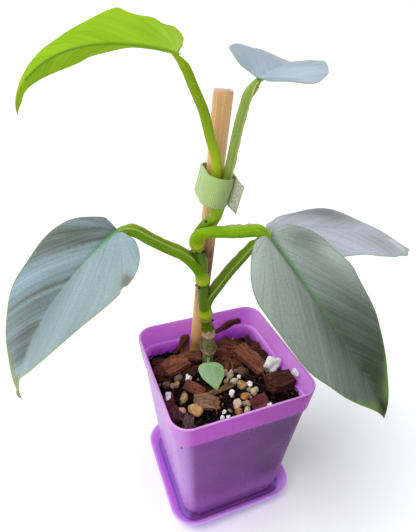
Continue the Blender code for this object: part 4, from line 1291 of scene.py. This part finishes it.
def random_angles(draw, tilt):
    return draw.uniform(0, 360), draw.uniform(-tilt, tilt), draw.uniform(-tilt, tilt)


def make_ground():
    # The packed soil body from the pot's floor to a rough top
    base_z = POT_FOOT_Z + POT_WALL + 0.3
    rows = [square_ring(6, 1.5, base_z), square_ring(16, 3.5, base_z)]
    for z in np.linspace(base_z, SOIL_LEVEL - 6, 12):
        rows.append(square_ring(inner_half(z) - 0.3, POT_RADII[0], z))
    for share in np.linspace(1, 0.02, GROUND_ROWS):
        ring = square_ring((inner_half(SOIL_LEVEL) - 0.5) * share, (POT_RADII[1] - 1.5) * share, 0)
        ring[:, 2] = soil_height(ring[:, 0], ring[:, 1]) - 0.6
        rows.append(ring)
    grid = np.array(rows)
    top = grid[-GROUND_ROWS:]
    top[..., 2] += 1.1 * rough_at(top, 0.22) + 0.9 * rough_at(top, 0.6, 4) + 0.5 * rough_at(top, 1.6, 8)
    limit = inner_half(top[..., 2:]) - 0.3
    top[..., :2] = np.clip(top[..., :2], -limit, limit)
    add_piece(surface("packed_soil", grid), "bark_mix", "soil", ground_paint())


def ground_paint():
    paint = Paint("dark_soil", 0.9, Specular_IOR_Level=0.05)
    coarse = paint.noise(0.5, 4, rough=0.7)
    fine = paint.noise(2.5, 4, rough=0.7)
    # The soil's own dark colour, darkened to near black as painted shade for the deep shadows between the
    # lumps
    colour = paint.layers("080606", ("1A110E", coarse, 0.35, 0.65), ("3C251D", fine, 0.6, 0.75, 0.6))
    return paint.done(colour, None, paint.math("ADD", coarse, fine), 0.6)


def make_chips():
    heap = Heap()
    draw = random.Random(11)
    for index, (x, y, lift, size, heading, tilt, roll, colour) in enumerate(CHIPS):
        add_chip(heap, on_ground(x, y, lift), size, (heading, tilt, roll), colour, 12, index + 1)
    add_chip(heap, np.array(WALL_CHIP), (16.5, 2.6, 3.2), (3, -14, 0), "6A3C36", 12, 33)
    for index, (x, y) in enumerate(scattered(draw, CHIP_COUNT, SPREAD, 4.2)):
        in_back = 1.0 if y > 4 else 0.6
        size = (draw.uniform(5, 9) * in_back, draw.uniform(3, 5.5) * in_back, draw.uniform(1.6, 3))
        place = on_ground(x, y, draw.uniform(-0.6, 0.9) + (0.6 if y > 4 else -0.7))
        colour = draw.choice(HUSK if y > 6 else DARK_HUSK)
        add_chip(heap, place, size, random_angles(draw, 30), colour, 4, index + 40)
    heap.make("husk_chips", lump_paint("husk_brown", 1.2, 0.7))


def make_stones():
    heap = Heap()
    draw = random.Random(23)
    for index, (x, y, lift, size, colour) in enumerate(PEBBLES):
        form = (size, size * draw.uniform(0.75, 0.95), size * draw.uniform(0.65, 0.85))
        add_stone(heap, on_ground(x, y, lift), form, random_angles(draw, 25), colour, 3, index + 1)
    for index, (x, y) in enumerate(scattered(draw, PEBBLE_COUNT, SPREAD, 2.6)):
        size = draw.uniform(1.4, 2.8)
        form = (size, size * draw.uniform(0.7, 1), size * draw.uniform(0.6, 0.9))
        place = on_ground(x, y, draw.uniform(-0.3, 0.9))
        add_stone(heap, place, form, random_angles(draw, 40), draw.choice(STONE), 2, index + 50)
    heap.make("pebbles", lump_paint("pebble", 1.5, 0.5, 0.6))


def make_perlite():
    heap = Heap()
    draw = random.Random(31)
    for index, (x, y, lift, size) in enumerate(PERLITES):
        form = (size, size * 0.85, size * 0.9)
        add_stone(heap, on_ground(x, y, lift), form, random_angles(draw, 40), "FFFFFF", 4, index + 3, 0.3)
    add_stone(heap, np.array(LEDGE_PERLITE), (2.1, 5.6, 3.4), (0, 0, -20), "FFFFFF", 4, 77, 0.25, False)
    for index, (x, y) in enumerate(scattered(draw, PERLITE_COUNT, SPREAD - 1, 5)):
        size = draw.uniform(0.8, 2.2)
        place = on_ground(x, y, draw.uniform(0.3, 1.2))
        add_stone(heap, place, (size,) * 3, random_angles(draw, 40), draw.choice(PERLITE), 2, index + 90, 0.3)
    heap.make("perlite", lump_paint("perlite_white", 2.0, 0.14, 0.9))


def make_crumbs():
    heap = Heap()
    draw = random.Random(47)
    points, faces = SHAPES["ball", 1]
    for index in range(CRUMB_COUNT):
        x, y = draw.uniform(-SPREAD, SPREAD), draw.uniform(-SPREAD, SPREAD)
        size = draw.uniform(0.5, 1.7)
        form = points * (1 + 0.6 * rough_at(points, 3, index))[:, None]
        form = form * (size * draw.uniform(0.8, 1.6), size, size * draw.uniform(0.5, 0.9))
        place = on_ground(x, y, draw.uniform(-0.8, 0.7))
        colour = draw.choice(CRUMB if draw.random() < 0.93 else HUSK)
        heap.add(keep_in(turned(form, *random_angles(draw, 60)) + place), faces, colour)
    heap.make("crumbs", lump_paint("crumb_dark", 2.5, 0.5))


def make_mounds():
    # Matted fibre lumps right of the stem, with ridges that run across them
    heap = Heap()
    points, faces = SHAPES["ball", 4]
    for index, (x, y, lift, size) in enumerate(MOUNDS):
        seeds = np.array((index * 3.7, 1.9, index))
        ridge = rough_at(points, (2, 9, 9), seeds)
        fine = rough_at(points, (6, 26, 26), seeds)
        local = points * (1 + 0.22 * ridge + 0.12 * fine)[:, None] * size
        tone = np.clip(1 + 0.7 * ridge + 0.7 * fine, 0.3, 1.9)
        local = turned(local, -28 + 9 * index, 4, 8) + on_ground(x, y, lift)
        heap.add(keep_in(local), faces, "8E5443", tone)
    heap.make("fibre_mound", lump_paint("fibre_red", 1.6, 0.7))


def make_fibres():
    heap = Heap()
    draw = random.Random(59)
    for index, route in enumerate(STRANDS):
        add_thread(heap, [on_ground(*point) for point in route], STRAND_RADIUS, FIBRE[index % 2], 6)
    for index in range(FIBRE_COUNT):
        on_mound = index < MOUND_FIBRES
        if on_mound:
            x, y = draw.gauss(MOUND_PLACE, 7), draw.gauss(MOUND_PLACE, 5.5)
            heading = radians(draw.gauss(-25, 35))
        else:
            x, y = draw.uniform(1 - SPREAD, SPREAD - 1), draw.uniform(1 - SPREAD, SPREAD - 1)
            heading = radians(draw.uniform(0, 360))
        length = draw.uniform(4, 14)
        route = []
        for step in np.linspace(-0.5, 0.5, 5):
            px = x + cos(heading) * step * length + draw.gauss(0, 0.6)
            py = y + sin(heading) * step * length + draw.gauss(0, 0.6)
            away = hypot((px - MOUND_PLACE) / MOUND_REACH[0], (py - MOUND_PLACE) / MOUND_REACH[1])
            lift = MOUND_HEIGHT * bell(away, 1) + 0.6 + draw.uniform(0, 1.1) * (1 - 4 * step * step)
            route.append(on_ground(px, py, lift))
        if is_bare(x, y):
            continue
        colour = draw.choice(FIBRE if on_mound else DARK_FIBRE)
        add_thread(heap, keep_in(np.array(route)), draw.uniform(0.08, 0.17), colour, 4)
    for route, radius, colour in STICKS:
        add_thread(heap, route, radius, colour, 10, 0.75)
    heap.make("coir_fibres", lump_paint("coir", 2.0, 0.5))


# The object in its order, then the floor, the light and the camera

# Half width of the floor, its profile as distance back and height, and the light
FLOOR_HALF = 9000.0
FLOOR_PROFILE = [
    (-9000, 0), (-2000, 0), (2000, 0), (3500, 50), (5000, 400), (6200, 1200), (6900, 2500), (7100, 4500),
]
FLOOR_ROWS = 160
KEY_PLACE = (-480, 60, 850)
KEY_ENERGY = 2.5
KEY_SPREAD = 60
SKY_STRENGTH = 0.62


def make_object():
    make_saucer()
    make_pot()
    make_ground()
    make_chips()
    make_stones()
    make_perlite()
    make_crumbs()
    make_mounds()
    make_fibres()
    make_stake()
    make_tie()
    make_stem()
    make_collars()
    make_buds()
    for name in LEAVES:
        make_blade(name)
        make_stalk(name)


def make_floor():
    # A pale floor that curves up into a backdrop far behind
    line = catmull_rom([(0, y, z) for y, z in FLOOR_PROFILE], FLOOR_ROWS)
    line[:, 2] = np.maximum(line[:, 2], 0)
    grid = np.stack([line + (x, 0, 0) for x in (FLOOR_HALF, -FLOOR_HALF)], 1)
    mesh = surface("floor", grid, wrap=False, capped=False)
    paint = Paint("floor_white", 0.7)
    mesh.materials.append(paint.done(paint.mix(paint.noise(0.01, 2), "F4F4F6", "F8F8F8")))
    add_object("floor", mesh)


def make_light():
    world = bpy.data.worlds.new("studio")
    bpy.context.scene.world = world
    world.use_nodes = True
    background = world.node_tree.nodes["Background"]
    background.inputs["Color"].default_value = (0.97, 0.98, 1.0, 1)
    background.inputs["Strength"].default_value = SKY_STRENGTH
    data = bpy.data.lights.new("key", "SUN")
    data.angle = radians(KEY_SPREAD)
    data.energy = KEY_ENERGY
    data.color = (0.98, 0.99, 1.0)
    key = add_object("key", data)
    key.location = Vector(KEY_PLACE) * MM
    key.rotation_euler = (-Vector(KEY_PLACE)).to_track_quat("-Z", "Y").to_euler()


def make_camera():
    data = bpy.data.cameras.new("camera")
    data.sensor_fit = "VERTICAL"
    data.sensor_width = SENSOR
    data.sensor_height = SENSOR
    data.lens = CAMERA_LENS
    data.clip_start = 0.01
    data.clip_end = 100
    camera = add_object("camera", data)
    azimuth, elevation = radians(CAMERA_AZIMUTH), radians(CAMERA_ELEVATION)
    back = Vector((sin(azimuth) * cos(elevation), -cos(azimuth) * cos(elevation), sin(elevation)))
    level = Vector((cos(azimuth), sin(azimuth), 0))
    right = Matrix.Rotation(radians(CAMERA_ROLL), 3, back) @ level
    turn = Matrix((right, back.cross(right), back)).transposed()
    camera.matrix_world = Matrix.Translation(Vector(CAMERA_PLACE) * MM) @ turn.to_4x4()
    bpy.context.scene.camera = camera


make_camera()
make_object()
make_floor()
make_light()
bpy.context.scene.view_settings.view_transform = "Standard"
